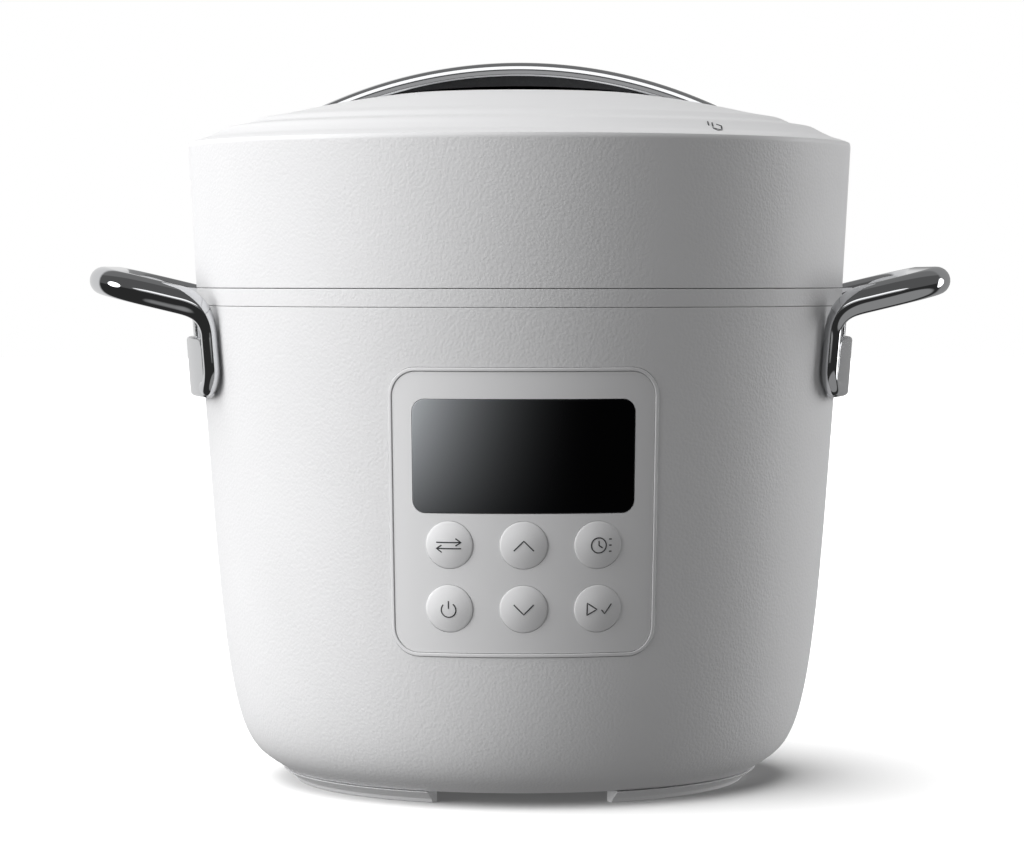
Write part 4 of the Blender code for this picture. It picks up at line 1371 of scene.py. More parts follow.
@dataclass
class ControlPanel:
    """The panel in the front of the body: trim, fascia, window and six domed buttons."""

    finishes: Finishes
    casing: Casing
    trim: float = 1.3 * MM
    proud: float = 0.35 * MM
    line: float = 0.16 * MM
    window_size: Point = (75.2 * MM, 38.0 * MM)
    window_middle: float = 120.3 * MM
    window_corner: float = 4.4 * MM
    button: float = 8.0 * MM
    button_gap: float = 0.06 * MM
    dome: float = 1.5 * MM
    step: float = math.radians(13.05)
    rows: tuple[float, float] = (90.7 * MM, 69.3 * MM)
    stroke: float = 0.25 * MM
    icon_scale: float = 1.08

    def build(self) -> None:
        """Builds the panel from its trim inwards."""
        self.make_trim()
        self.make_fascia()
        self.make_window()
        self.make_buttons()

    def outline(self, name: str, grow: float, depth: Point) -> bpy.types.Object:
        """A flat plate with the panel's outline, moved out by grow."""
        width, height = self.casing.panel_size
        return plate(
            name,
            (width + 2 * grow, height + 2 * grow),
            self.casing.panel_corner + grow,
            (0, self.casing.panel_middle),
            depth,
            12,
        )

    def make_trim(self) -> None:
        """The thin raised rim."""
        ring = self.outline("panel_rim", -0.06 * MM, (-self.proud, 3.4 * MM))
        hole = self.outline("panel_rim_hole", -self.trim, (-3 * MM, 8 * MM))
        combine(ring, [hole], Operation.CUT)
        edged(ring, 0.3 * MM, 3)
        wrapped(sliced(ring, 2.5 * MM, 5 * MM))
        present(ring, "base", [self.finishes.satin], ["panel_trim"])

    def places(self) -> list[tuple[Icon, float, float]]:
        """Each button's icon, azimuth and height."""
        names = ((Icon.MODE, Icon.UP, Icon.TIMER), (Icon.CANCEL, Icon.DOWN, Icon.START))
        across = self.step * BODY.radius(self.rows[0])
        return [
            (icon, (column - 1) * across / BODY.radius(z), z)
            for z, row in zip(self.rows, names)
            for column, icon in enumerate(row)
        ]

    def make_fascia(self) -> None:
        """The smooth face, with holes for the window and the buttons."""
        face = self.outline("panel_fascia", -self.trim - self.line, (0.02 * MM, 2.2 * MM))
        gap = 0.12 * MM
        cutters = [
            plate(
                "window_hole",
                (self.window_size[0] + 2 * gap, self.window_size[1] + 2 * gap),
                self.window_corner + gap,
                (0, self.window_middle),
                (-3 * MM, 8 * MM),
                10,
            )
        ]
        middle = BODY.radius(self.casing.panel_middle)
        for icon, azimuth, z in self.places():
            scale = 0.4 * middle + 0.6 * BODY.radius(z)
            x = azimuth * scale
            hole = cylinder(f"hole_{icon.value}", self.button + self.button_gap, (x, -3 * MM, z), (x, 8 * MM, z), 64)
            stretch = scale / BODY.radius(z)
            move(hole, Matrix.Translation((x, 0, 0)) @ Matrix.Diagonal((stretch, 1, 1, 1)) @ Matrix.Translation((-x, 0, 0)))
            cutters.append(hole)
        combine(face, cutters, Operation.CUT)
        edged(face, 0.16 * MM, 2)
        wrapped(sliced(face, 2.5 * MM, 5 * MM))
        present(face, "base", [self.finishes.satin], ["control_panel"])

    def make_window(self) -> None:
        """The display window, flush in the fascia, with a fine ground edge."""
        glass = plate("display_glass", self.window_size, self.window_corner, (0, self.window_middle), (-0.05 * MM, 2.0 * MM), 10)
        edged(glass, 0.3 * MM, 3)
        wrapped(sliced(glass, 2.0 * MM, 6 * MM))
        # Its material paints a reflection of the studio as a grey fade across the glass.
        present(glass, "base", [self.finishes.acrylic], ["display_window"], 50)

    def dome_height(self, reach: float) -> float:
        """Height of a button's dome at this distance from its middle."""
        return self.dome * (1 - (reach / (1.02 * self.button)) ** 2)

    def make_buttons(self) -> None:
        """Six buttons from one model, each with its own icon."""
        edge = self.button
        line = [(t * 0.1 * edge, self.dome_height(t * 0.1 * edge)) for t in range(10)]
        line += rounded(
            [(0.93 * edge, self.dome_height(0.93 * edge)), (edge, 0.0), (edge, -3.6 * MM)], 0.16 * MM, 4
        )
        line += [(edge + 1.1 * MM, -3.6 * MM), (edge + 1.1 * MM, -4.5 * MM), (3 * MM, -4.5 * MM), (3 * MM, -7.4 * MM), (0.0, -7.4 * MM)]
        model = turned("button_model", line, 72)
        for icon, azimuth, z in self.places():
            node = f"button_{icon.value}"
            where = surface_frame(azimuth, z)
            cap = copy_of(model, f"cap_{icon.value}", where)
            present(cap, node, [self.finishes.satin], [node], 45)
            self.print_icon(icon, node, where)
        bpy.data.objects.remove(model, do_unlink=True)

    def print_icon(self, icon: Icon, body: str, where: Matrix) -> None:
        """Prints an icon on a button.

        Args:
            icon: what is printed.
            body: the button's body.
            where: the button's frame.
        """
        parts = []
        for index, stroke in enumerate(icon.strokes()):
            stroke = [(x * self.icon_scale, y * self.icon_scale) for x, y in stroke]
            points = []
            for (x_from, y_from), (x_to, y_to) in zip(stroke, stroke[1:]):
                count = max(1, round(math.hypot(x_to - x_from, y_to - y_from) / 0.8))
                for step in range(count):
                    x = (x_from + (x_to - x_from) * step / count) * MM
                    y = (y_from + (y_to - y_from) * step / count) * MM
                    points.append((x, y, self.dome_height(math.hypot(x, y)) - 0.1 * MM))
            x, y = stroke[-1][0] * MM, stroke[-1][1] * MM
            closed = stroke[0] == stroke[-1]
            if not closed:
                points.append((x, y, self.dome_height(math.hypot(x, y)) - 0.1 * MM))
            parts.append(bar(f"stroke_{index}", points, [self.stroke] * len(points), 2, closed))
        print_ = gathered(f"print_{icon.value}", parts)
        move(print_, where)
        present(print_, body, [self.finishes.ink])


# ---------------------------------------------------------------- side handles


@dataclass
class SideHandles:
    """Two cast loop handles, each on a plate that follows the body."""

    finishes: Finishes
    bar_radius: float = 4.9 * MM
    leg_radius: float = 3.0 * MM
    leg_y: float = 46.0 * MM
    outer: float = 151.4 * MM
    bar_z: float = 178.5 * MM
    rise: float = math.radians(13.5)
    bend: float = 9.5 * MM
    corner: float = 17.0 * MM
    foot_z: float = 141.2 * MM
    plate_z: Point = (137.6 * MM, 158.5 * MM)
    plate_half: float = 41.2 * MM
    proud: float = 5.0 * MM
    neck_half: float = 20.0 * MM
    neck_proud: float = 2.4 * MM

    def build(self) -> None:
        """Builds both handles."""
        for word, side in (("left", -1), ("right", 1)):
            points, radii = self.path(side)
            loop = bar(f"{word}_grip", points, radii, 11)
            present(loop, "base", [self.finishes.chrome], [f"{word}_handle"], 60)
            self.make_plate(word, side)
        self.finishes.dress(
            self.finishes.screw,
            *(f"{word}_handle_bolt_{n}" for word in ("left", "right") for n in (1, 2)),
        )

    def leg_x(self, z: float, y: float) -> float:
        """How far out a leg's centre line is, so that the leg just clears the body."""
        return math.sqrt((BODY.radius(z) + self.leg_radius + 0.3 * MM) ** 2 - y**2)

    def path(self, side: int) -> tuple[list[Place], list[float]]:
        """The loop's centre line.

        Args:
            side: 1 for the right handle, -1 for the left.

        Returns:
            Points and the bar's radius at each one, from the front foot round to the back foot.
        """
        slope = math.tan(self.rise)
        bar_x = self.outer - self.bar_radius
        leg_x = self.leg_x(BODY.seam_z, self.leg_y)
        start = (leg_x + self.bend, self.bar_z - (bar_x - leg_x - self.bend) * slope)
        bend_top = start[1] - self.bend * slope
        half: list[tuple[Place, float]] = []
        turn = 7.0 * MM
        for step in range(9):
            angle = math.pi / 2 * step / 8
            y = self.leg_y - turn * (1 - math.sin(angle))
            z = self.foot_z + turn * (1 - math.cos(angle))
            half.append(((self.leg_x(z, y), -y, z), self.leg_radius))
        for step in range(1, 7):
            z = self.foot_z + turn + (bend_top - self.bend - self.foot_z - turn) * step / 7
            half.append(((self.leg_x(z, self.leg_y), -self.leg_y, z), self.leg_radius))
        low_x = self.leg_x(bend_top - self.bend, self.leg_y)
        for step in range(15):
            t = step / 14
            u = 1 - t
            x = u * u * low_x + 2 * u * t * leg_x + t * t * start[0]
            z = u * u * (bend_top - self.bend) + 2 * u * t * bend_top + t * t * start[1]
            half.append(((x, -self.leg_y, z), self.leg_radius + (self.bar_radius - self.leg_radius) * smooth(t)))
        end_x = bar_x - self.corner
        for step in range(1, 5):
            x = start[0] + (end_x - start[0]) * step / 5
            half.append(((x, -self.leg_y, self.bar_z - (bar_x - x) * slope), self.bar_radius))
        for step in range(17):
            angle = math.pi / 2 * step / 16
            x = end_x + self.corner * math.sin(angle)
            y = -self.leg_y + self.corner * (1 - math.cos(angle))
            half.append(((x, y, self.bar_z - (bar_x - x) * slope), self.bar_radius))
        whole = half + [((x, -y, z), r) for (x, y, z), r in reversed(half)]
        return [(side * x, y, z) for (x, y, z), _ in whole], [r for _, r in whole]

    def make_plate(self, word: str, side: int) -> None:
        """The cast plate behind a loop, with its neck.

        Args:
            word: "left" or "right".
            side: 1 for the right handle, -1 for the left.
        """
        low, high = self.plate_z
        azimuth = side * math.pi / 2
        main = plate("main", (2 * self.plate_half, high - low), 5 * MM, (0, (low + high) / 2), (-self.proud, -0.3 * MM), 8)
        edged(main, 1.3 * MM, 4)
        wrapped(sliced(main, 2.5 * MM, 5 * MM), azimuth)
        neck_low, neck_high = 148 * MM, 168.5 * MM
        neck = plate("neck", (2 * self.neck_half, neck_high - neck_low), 2 * MM, (0, (neck_low + neck_high) / 2), (-self.neck_proud, -0.5 * MM), 6)
        edged(neck, 0.8 * MM, 3)
        wrapped(sliced(neck, 2.5 * MM, 5 * MM), azimuth)
        mount = gathered(f"{word}_mount", [main, neck])
        present(mount, "base", [self.finishes.satin_chrome], [f"{word}_handle_bracket"])


# ---------------------------------------------------------------- lid


@dataclass
class Lid:
    """The white lid with its strap handle."""

    finishes: Finishes
    line: LidLine = field(default_factory=LidLine)
    wall: float = 2.5 * MM
    seam_z: float = 175.98 * MM
    strap_radius: float = 169.0 * MM
    strap_thick: float = 5.1 * MM
    strap_width: float = 22.0 * MM
    strap_half: float = 73.0 * MM
    strap_top: float = 256.2 * MM
    # A dark block fills the gap under the strap down to the lid: it is painted shade, standing in for the shadow under
    # the handle.
    shade_block_half: float = 47.5 * MM
    shade_block_width: float = 19.0 * MM
    shade_block_gap: float = 0.3 * MM
    valve_y: float = 60.0 * MM
    float_place: Point = (-44.0 * MM, 44.0 * MM)

    def build(self) -> None:
        """Builds the lid, its handle and its mark."""
        self.make_cover()
        self.make_strap()
        self.make_mark()
        self.finishes.dress(self.finishes.screw, "lid_handle_screw_left", "lid_handle_screw_right")

    def make_cover(self) -> None:
        """The shell: a grained side wall under a smooth stepped top."""
        top = rounded(self.line.top(), 1.3 * MM, 3)
        rim, rim_z = self.line.rim_radius, self.line.rim_z
        seam = BODY.seam_radius
        side = [(rim + (seam - rim) * t, rim_z + (self.seam_z - rim_z) * t) for t in (0.06, 0.3, 0.55, 0.8, 0.99)]
        corner = rounded([top[-1], (rim, rim_z), side[0]], 0.9 * MM, 4)
        foot = rounded([side[-1], (seam, self.seam_z), (seam - self.wall, self.seam_z)], 0.4 * MM, 3)
        inner = [
            (rim - 4 * MM - self.wall, rim_z - 4 * MM),
            (self.line.dome_edge, self.line.dome_edge_z - 4 * MM),
            (self.line.bowl_radius + 6 * MM, self.line.dome(self.line.bowl_radius) - 3.5 * MM),
            (self.line.bowl_radius * 0.8, self.line.dome(self.line.bowl_radius) - self.line.bowl_depth - self.wall),
            (0.0, self.line.dome(self.line.bowl_radius) - self.line.bowl_depth - self.wall),
        ]
        cover = turned("lid_shell", [*top, *corner[1:-1], *side, *foot[1:], *inner], 192)
        x, y = self.float_place
        cutters = [
            cylinder("knob_well", 15 * MM, (0, self.valve_y, rim_z - 20 * MM), (0, self.valve_y, rim_z + 40 * MM), 64),
            cylinder("pin_hole", 3.3 * MM, (x, y, rim_z - 20 * MM), (x, y, rim_z + 40 * MM), 32),
        ]
        combine(cover, [*cutters, self.strap("strap_slot", 0.18 * MM)], Operation.CUT)
        limit = rim_z - 0.6 * MM
        paint(cover, 1, lambda face: face.center.z > limit)
        present(cover, "lid", [self.finishes.grained, self.finishes.satin], ["lid_cover"], 30)

    def strap(self, name: str, grow: float) -> bpy.types.Object:
        """The strap's shape, grown by a margin: a rounded section spun along an arc.

        Args:
            name: its name.
            grow: margin all round.

        Returns:
            The shape.
        """
        centre = (0, 0, self.strap_top - self.strap_radius)
        half = math.asin(self.strap_half / self.strap_radius)
        side, top = self.strap_width / 2 + grow, self.strap_top + grow
        low, middle = top - self.strap_thick - 2 * grow, top - 3.0 * MM
        right = rounded([(0, low), (side, low), (side, middle)], 0.8 * MM, 4)
        for inward, upward in ((0.3, 0.5), (0.361, 1.5), (1.0, 2.15), (1.9, 2.65), (3.2, 2.95)):
            right.append((side - inward * MM, middle + upward * MM))
        right.append((0, top))
        left = [(-y, z) for y, z in reversed(right[1:-1])]
        obj = drawn(name, [(0, y, z) for y, z in [*right, *left]], closed=True)
        move(obj, Matrix.Translation(centre) @ Matrix.Rotation(-half, 4, "Y") @ Matrix.Translation(-Vector(centre)))

        def sweep() -> None:
            """Sweeps the section along the arc and closes the ends."""
            bpy.ops.mesh.spin(steps=72, dupli=False, angle=-2 * half, center=centre, axis=(0, 1, 0))
            bpy.ops.mesh.select_all(action="SELECT")
            bpy.ops.mesh.remove_doubles(threshold=0.001 * MM)
            bpy.ops.mesh.fill_holes(sides=0)
            bpy.ops.mesh.select_all(action="SELECT")
            bpy.ops.mesh.normals_make_consistent(inside=False)

        edit(sweep)
        return obj

    def make_strap(self) -> None:
        """The polished strap handle, with a dark block under its middle that paints the shade in the gap between the
        strap and the lid.
        """
        strap = self.strap("lid_strap", 0.0)
        present(strap, "lid", [self.finishes.chrome], ["lid_handle"], 25)
        # Painted shade: a dark block fills the gap between the strap's underside and the lid's dome.
        inner = self.strap_radius - self.strap_thick + 0.4 * MM
        centre_z = self.strap_top - self.strap_radius
        steps = 40
        xs = [self.shade_block_half * (2 * step / steps - 1) for step in range(steps + 1)]
        over = [(x, -self.shade_block_width / 2, centre_z + math.sqrt(inner**2 - x**2)) for x in xs]
        under = [(x, -self.shade_block_width / 2, self.line.dome(x) + self.shade_block_gap) for x in reversed(xs)]
        shade_block = drawn("shade_block_under_strap", [*over, *under], closed=True)

        def thicken() -> None:
            """Fills the outline and gives the dark block its width."""
            bpy.ops.mesh.edge_face_add()
            bpy.ops.mesh.extrude_region_move(TRANSFORM_OT_translate={"value": (0, self.shade_block_width, 0)})
            bpy.ops.mesh.select_all(action="SELECT")
            bpy.ops.mesh.normals_make_consistent(inside=False)

        edit(thicken)
        present(shade_block, "lid", [self.finishes.dark_plastic])

    def make_mark(self) -> None:
        """A plain closing mark on the lid's edge: two bars over an arrowhead."""
        strokes = (
            ((-2.4, 3.0), (-2.2, -0.2)),
            ((-0.9, 3.2), (-0.8, -0.2)),
            ((0.5, 3.0), (2.2, 2.8), (2.2, -0.2)),
            ((-0.9, -1.6), (0.7, -3.6), (2.3, -1.6), (-0.9, -1.6)),
        )
        azimuth, reach = math.radians(35.8), 110.4 * MM
        middle = Vector((reach * math.sin(azimuth), -reach * math.cos(azimuth)))
        parts = []
        for index, stroke in enumerate(strokes):
            points = []
            for (x_from, y_from), (x_to, y_to) in zip(stroke, (*stroke[1:], stroke[-1])):
                for step in range(5):
                    x = x_from + (x_to - x_from) * step / 5
                    y = y_from + (y_to - y_from) * step / 5
                    place = middle + Vector((x, y)) * MM
                    points.append((*place, self.line.height(place.length) - 0.05 * MM))
                    if (x_from, y_from) == (x_to, y_to):
                        break
            closed = points[0] == points[-1]
            points = points[:-1] if closed else points
            parts.append(bar(f"mark_{index}", points, [0.26 * MM] * len(points), 2, closed))
        present(gathered("closing_mark", parts), "lid", [self.finishes.ink])


@dataclass
class LidUnderside:
    """What is under the lid: the pressure plate, the locking ring, the seal and the valves."""

    finishes: Finishes
    lid: Lid
    ring_in: float = 108.5 * MM
    ring_out: float = 110.0 * MM
    ring_z: float = 180.1 * MM
    ring_height: float = 19.0 * MM
    lug_in: float = 101.4 * MM
    lug_thick: float = 3.0 * MM
    lug_angle: float = math.radians(24)
    lugs: int = 6
    pot_in: float = 85.7 * MM
    gasket_z: float = 189.2 * MM
    pressure_z: float = 193.5 * MM
    rise: float = 10.0 * MM
    wall: float = 1.5 * MM

    def build(self) -> None:
        """Builds the underside from the rim inwards."""
        self.make_ring()
        self.make_pressure_plate()
        self.make_gasket()
        self.make_valves()

    def make_ring(self) -> None:
        """The locking ring with its six lugs."""
        low, high = self.ring_z, self.ring_z + self.ring_height
        line = rounded([(self.ring_in, low), (self.ring_in, high), (self.ring_out, high), (self.ring_out, low)], 0.3 * MM, 2)
        band = turned("band", line, 144, closed=True)
        section = rounded(
            [
                (self.ring_in + 0.5 * MM, low),
                (self.ring_in + 0.5 * MM, low + self.lug_thick),
                (self.lug_in, low + self.lug_thick),
                (self.lug_in, low),
            ],
            0.7 * MM,
        )
        middle = math.pi / 2 + math.pi / self.lugs
        lug = turned("lug", section, 14, closed=True, start=middle - self.lug_angle / 2, angle=self.lug_angle)
        edged(lug, 0.4 * MM, 2, 60)
        others = [
            copy_of(lug, f"lug_{i}", Matrix.Rotation(math.tau * i / self.lugs, 4, "Z"))
            for i in range(1, self.lugs)
        ]
        ring = gathered("locking_ring", [band, lug, *others])
        present(ring, "lid", [self.finishes.steel], ["lock_ring"])

    def plate_height(self, radius: float) -> float:
        """Underside of the pressure plate at this distance from the axis."""
        inner_edge = self.pot_in - 4 * MM
        bend = inner_edge * 0.55
        high = self.rise - 1.5 * MM
        return self.pressure_z + high * (inner_edge - radius) / (inner_edge - bend)

    def make_pressure_plate(self) -> None:
        """The pressed steel plate, with a stiffening step and holes for the valves."""
        rise, edge = self.pressure_z + self.rise, self.ring_in - 0.3 * MM
        inner_edge = self.pot_in - 4 * MM
        under = [
            (0.0, rise),
            (inner_edge * 0.55, rise - 1.5 * MM),
            (inner_edge, self.pressure_z),
            (edge, self.pressure_z),
        ]
        over = [(r, z + self.wall) for r, z in reversed(under)]
        line = rounded([*under, *over], 2.2 * MM, 4)
        steel = turned("pressure_plate", line, 144)
        x, y = self.lid.float_place
        holes = [
            cylinder("pipe_hole", 4.8 * MM, (0, self.lid.valve_y, 0.17), (0, self.lid.valve_y, 0.23), 32),
            cylinder("float_hole", 3.4 * MM, (x, y, 0.17), (x, y, 0.23), 32),
        ]
        combine(steel, holes, Operation.CUT)
        present(steel, "lid", [self.finishes.steel], ["pressure_lid"])

    def make_gasket(self) -> None:
        """The silicone seal, with a soft lip."""
        z, inner = self.gasket_z, self.pot_in
        line = rounded(
            [
                (inner + 8 * MM, z + 4 * MM),
                (inner + 8 * MM, z + 1 * MM),
                (inner + 7 * MM, z + 0.05 * MM),
                (inner + 4.6 * MM, z + 0.05 * MM),
                (inner + 3.6 * MM, z + 1.0 * MM),
                (inner + 2.4 * MM, z + 1.0 * MM),
                (inner + 1.6 * MM, z + 0.05 * MM),
                (inner + 0.1 * MM, z + 0.05 * MM),
                (inner, z + 4 * MM),
            ],
            0.6 * MM,
        )
        gasket = turned("silicone_seal", line, 144, closed=True)
        present(gasket, "seal", [self.finishes.silicone], ["gasket"])

    def make_valves(self) -> None:
        """The steam valve's knob, its pipe and filter, and the float pin."""
        y = self.lid.valve_y
        top = self.lid.line.dome(y) + 6.2 * MM
        low = top - 13 * MM
        line = rounded(
            [
                (0.0, top - 3.6 * MM),
                (11.6 * MM, top - 3.6 * MM),
                (12.9 * MM, top - 4.9 * MM),
                (13.0 * MM, low),
                (5.4 * MM, low),
                (5.4 * MM, low + 6 * MM),
                (0.0, low + 6 * MM),
            ],
            0.9 * MM,
        )
        knob = turned("valve_knob", line, 72)
        grip = block("grip", (-2.5 * MM, -11 * MM, top - 6 * MM), (2.5 * MM, 11 * MM, top), 1.2 * MM)
        dent = cylinder("dent", 1.0 * MM, (0, -8.2 * MM, top - 0.4 * MM), (0, -8.2 * MM, top + 2 * MM), 24)
        combine(knob, [grip], Operation.JOIN)
        combine(knob, [dent], Operation.CUT)
        move(knob, Matrix.Translation((0, y, 0)))
        present(knob, "valve", [self.finishes.dark_plastic], ["steam_valve"])

        seat = self.plate_height(y)
        pipe = turned(
            "vent_tube",
            rounded(
                [(1.6 * MM, low + 5.4 * MM), (4.5 * MM, low + 5.4 * MM), (4.5 * MM, seat - 5 * MM), (1.6 * MM, seat - 5 * MM)],
                0.5 * MM,
            ),
            48,
            closed=True,
        )
        move(pipe, Matrix.Translation((0, y, 0)))
        present(pipe, "lid", [self.finishes.steel], ["vent_pipe"])

        cap_top = self.plate_height(y + 11 * MM) - 0.9 * MM
        cap = turned(
            "filter_shield",
            rounded(
                [
                    (4.8 * MM, cap_top),
                    (11 * MM, cap_top),
                    (11 * MM, cap_top - 7 * MM),
                    (9.8 * MM, cap_top - 7 * MM),
                    (9.8 * MM, cap_top - 1.2 * MM),
                    (4.8 * MM, cap_top - 1.2 * MM),
                ],
                0.4 * MM,
            ),
            64,
            closed=True,
        )
        slot = block("filter_slot", (-0.7 * MM, 5 * MM, cap_top - 5.4 * MM), (0.7 * MM, 15 * MM, cap_top - 2.6 * MM), 0.25 * MM)
        slots = [copy_of(slot, f"filter_slot_{i}", Matrix.Rotation(math.tau * i / 14, 4, "Z")) for i in range(1, 14)]
        combine(cap, [gathered("filter_slots", [slot, *slots])], Operation.CUT)
        move(cap, Matrix.Translation((0, y, 0)))
        present(cap, "lid", [self.finishes.steel], ["filter_cap"])

        x, y = self.lid.float_place
        reach = math.hypot(x, y)
        pin_top = self.lid.line.dome(reach) - 1.0 * MM
        stop = self.plate_height(reach + 5 * MM) - 4.9 * MM
        pin = turned(
            "float_pin",
            rounded(
                [
                    (0.0, pin_top),
                    (2.5 * MM, pin_top),
                    (2.5 * MM, stop),
                    (5 * MM, stop),
                    (5 * MM, stop - 1 * MM),
                    (2.5 * MM, stop - 1 * MM),
                    (2.5 * MM, stop - 3 * MM),
                    (0.0, stop - 3 * MM),
                ],
                0.45 * MM,
            ),
            36,
        )
        move(pin, Matrix.Translation((x, y, 0)))
        present(pin, "float_pin", [self.finishes.screw], ["float_valve"])
        self.finishes.dress(self.finishes.silicone, "float_seal")


# ---------------------------------------------------------------- inside


@dataclass
class Cooking:
    """The well in the body, the pot that stands in it and the heater under the pot."""

    finishes: Finishes
    well_out: float = 91.5 * MM
    well_in: float = 90.3 * MM
    flange_out: float = 100.5 * MM
    lug_out: float = 106.5 * MM
    flange_z: float = 187.0 * MM
    lug_thick: float = 3.0 * MM
    lugs: int = 6
    lug_angle: float = math.radians(24)
    well_floor: float = 34.0 * MM
    pot_out: float = 87.3 * MM
    pot_in: float = 85.7 * MM
    pot_floor: float = 44.1 * MM
    pot_rim_z: float = 187.3 * MM
    plate_z: float = 36.2 * MM
    plate_height: float = 7.6 * MM
    spring_wire: float = 0.7 * MM
    spring_turns: int = 3
    sensor_travel: float = 2.0 * MM

    def build(self) -> None:
        """Builds the inside from the well inwards."""
        self.make_well()
        self.make_pot()
        self.make_heater()
        f = self.finishes
        f.dress(f.galvanised, "heat_shield")
        self.make_spring()
        f.dress(f.board, "power_board", "display_module", "switch_carrier")

    def make_spring(self) -> None:
        """The coil under the sensor, built at its rest length with a mesh of its own."""
        low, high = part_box("sensor_spring")
        radius = high.x - self.spring_wire
        rise = (high.z - low.z - 2 * self.spring_wire) / self.spring_turns
        steps = 24 * self.spring_turns
        points = []
        for step in range(steps + 1):
            turn = math.tau * step / 24
            height = low.z + self.spring_wire + rise * step / 24
            points.append((radius * math.cos(turn), radius * math.sin(turn), height))
        spring = bar("spring_coil", points, [self.spring_wire] * len(points), 10, False)
        present(spring, "base", [self.finishes.screw], ["sensor_spring"], 50)
        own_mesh(spring)

    def make_well(self) -> None:
        """The steel well, with a flange whose lugs hold the lid."""
        lug_z = self.flange_z - self.lug_thick
        line = rounded(
            [
                (self.well_in, self.flange_z),
                (self.flange_out, self.flange_z),
                (self.flange_out, lug_z),
                (self.well_out, lug_z),
                (self.well_out, 177.1 * MM),
                (106.4 * MM, 177.1 * MM),
                (106.4 * MM, 175.95 * MM),
                (self.well_out, 175.95 * MM),
                (self.well_out, self.well_floor + 4 * MM),
                (self.well_out - 4 * MM, self.well_floor),
                (20 * MM, self.well_floor),
                (20 * MM, self.well_floor + 1.2 * MM),
                (self.well_in - 3.6 * MM, self.well_floor + 1.2 * MM),
                (self.well_in, self.well_floor + 4.8 * MM),
            ],
            0.55 * MM,
            3,
        )
        tub = turned("tub", line, 144, closed=True)
        section = rounded(
            [
                (self.flange_out - 0.6 * MM, self.flange_z),
                (self.lug_out, self.flange_z),
                (self.lug_out, lug_z),
                (self.flange_out - 0.6 * MM, lug_z),
            ],
            0.7 * MM,
        )
        start = math.pi / 2 - self.lug_angle / 2
        lug = turned("lug", section, 14, closed=True, start=start, angle=self.lug_angle)
        edged(lug, 0.4 * MM, 2, 60)
        others = [
            copy_of(lug, f"lug_{i}", Matrix.Rotation(math.tau * i / self.lugs, 4, "Z"))
            for i in range(1, self.lugs)
        ]
        well = gathered("steel_well", [tub, lug, *others])
        present(well, "base", [self.finishes.steel], ["pot_housing"])

    def make_pot(self) -> None:
        """The inner pot: coated inside, brushed outside, with level marks on its wall."""
        out, inn, floor, top = self.pot_out, self.pot_in, self.pot_floor, self.pot_rim_z + 1.6 * MM
        line = rounded([(inn + 8.5 * MM, self.pot_rim_z), (out, self.pot_rim_z), (out, floor + 18 * MM)], 0.4 * MM)
        line += [
            (out - 18 * MM + 18 * MM * math.cos(a), floor + 18 * MM - 18 * MM * math.sin(a))
            for a in (math.pi / 2 * step / 12 for step in range(1, 13))
        ]
        line += [(0.0, floor), (0.0, floor + 1.6 * MM)]
        line += [
            (out - 18 * MM + 16.4 * MM * math.sin(a), floor + 18 * MM - 16.4 * MM * math.cos(a))
            for a in (math.pi / 2 * step / 12 for step in range(12))
        ]
        line += rounded([(inn, floor + 19 * MM), (inn, top), (inn + 8.5 * MM, top), (inn + 8.5 * MM, self.pot_rim_z + 0.4 * MM)], 0.7 * MM)
        pot = turned("cooking_pot", line, 144, closed=False)

        def close() -> None:
            """Closes the rim's edge."""
            bpy.ops.mesh.select_all(action="DESELECT")
            bpy.ops.mesh.select_non_manifold()
            bpy.ops.mesh.bridge_edge_loops()
            bpy.ops.mesh.select_all(action="SELECT")
            bpy.ops.mesh.normals_make_consistent(inside=False)

        edit(close)
        paint(pot, 1, lambda face: self.outside(face))
        present(pot, "pot", [self.finishes.coating, self.finishes.steel], ["inner_pot"])
        marks = []
        for index in range(6):
            z = (70 + 18 * index) * MM
            length = 0.16 if index % 2 else 0.09
            arc = [
                ((inn + 0.02 * MM) * math.sin(math.pi + a), -(inn + 0.02 * MM) * math.cos(math.pi + a), z)
                for a in (length * (step / 8 - 0.5) for step in range(9))
            ]
            marks.append(bar(f"level_{index}", arc, [0.28 * MM] * len(arc), 2))
        present(gathered("level_marks", marks), "pot", [self.finishes.silicone])

    def outside(self, face: bpy.types.MeshPolygon) -> bool:
        """Whether a face of the pot is on its outer side."""
        reach = math.hypot(face.center.x, face.center.y)
        away = face.center.x * face.normal.x + face.center.y * face.normal.y
        return (away > 0 and reach > 60 * MM or face.normal.z < -0.3) and face.center.z < 187.4 * MM

    def make_heater(self) -> None:
        """The cast heating plate and the sprung sensor in its middle."""
        edge, low, top = self.well_in - 6 * MM, self.plate_z, self.plate_z + self.plate_height
        heater = turned(
            "hot_plate",
            rounded(
                [
                    (17 * MM, low),
                    (17 * MM, top),
                    (34 * MM, top),
                    (34.8 * MM, top - 0.5 * MM),
                    (35.6 * MM, top),
                    (54 * MM, top),
                    (54.8 * MM, top - 0.5 * MM),
                    (55.6 * MM, top),
                    (edge - 12 * MM, top),
                    (edge, top - 2 * MM),
                    (edge, low),
                ],
                0.5 * MM,
            ),
            144,
            closed=True,
        )
        present(heater, "base", [self.finishes.cast_alloy], ["heating_plate"])
        cap_low, stem_low = top - 6 * MM, 27.0 * MM
        sensor = turned(
            "sensor_cap",
            rounded(
                [
                    (0.0, top),
                    (12.6 * MM, top),
                    (14 * MM, top - 1.2 * MM),
                    (14 * MM, cap_low),
                    (4 * MM, cap_low),
                    (4 * MM, stem_low),
                    (0.0, stem_low),
                ],
                0.5 * MM,
            ),
            64,
        )
        present(sensor, "sensor", [self.finishes.steel], ["temperature_sensor"])


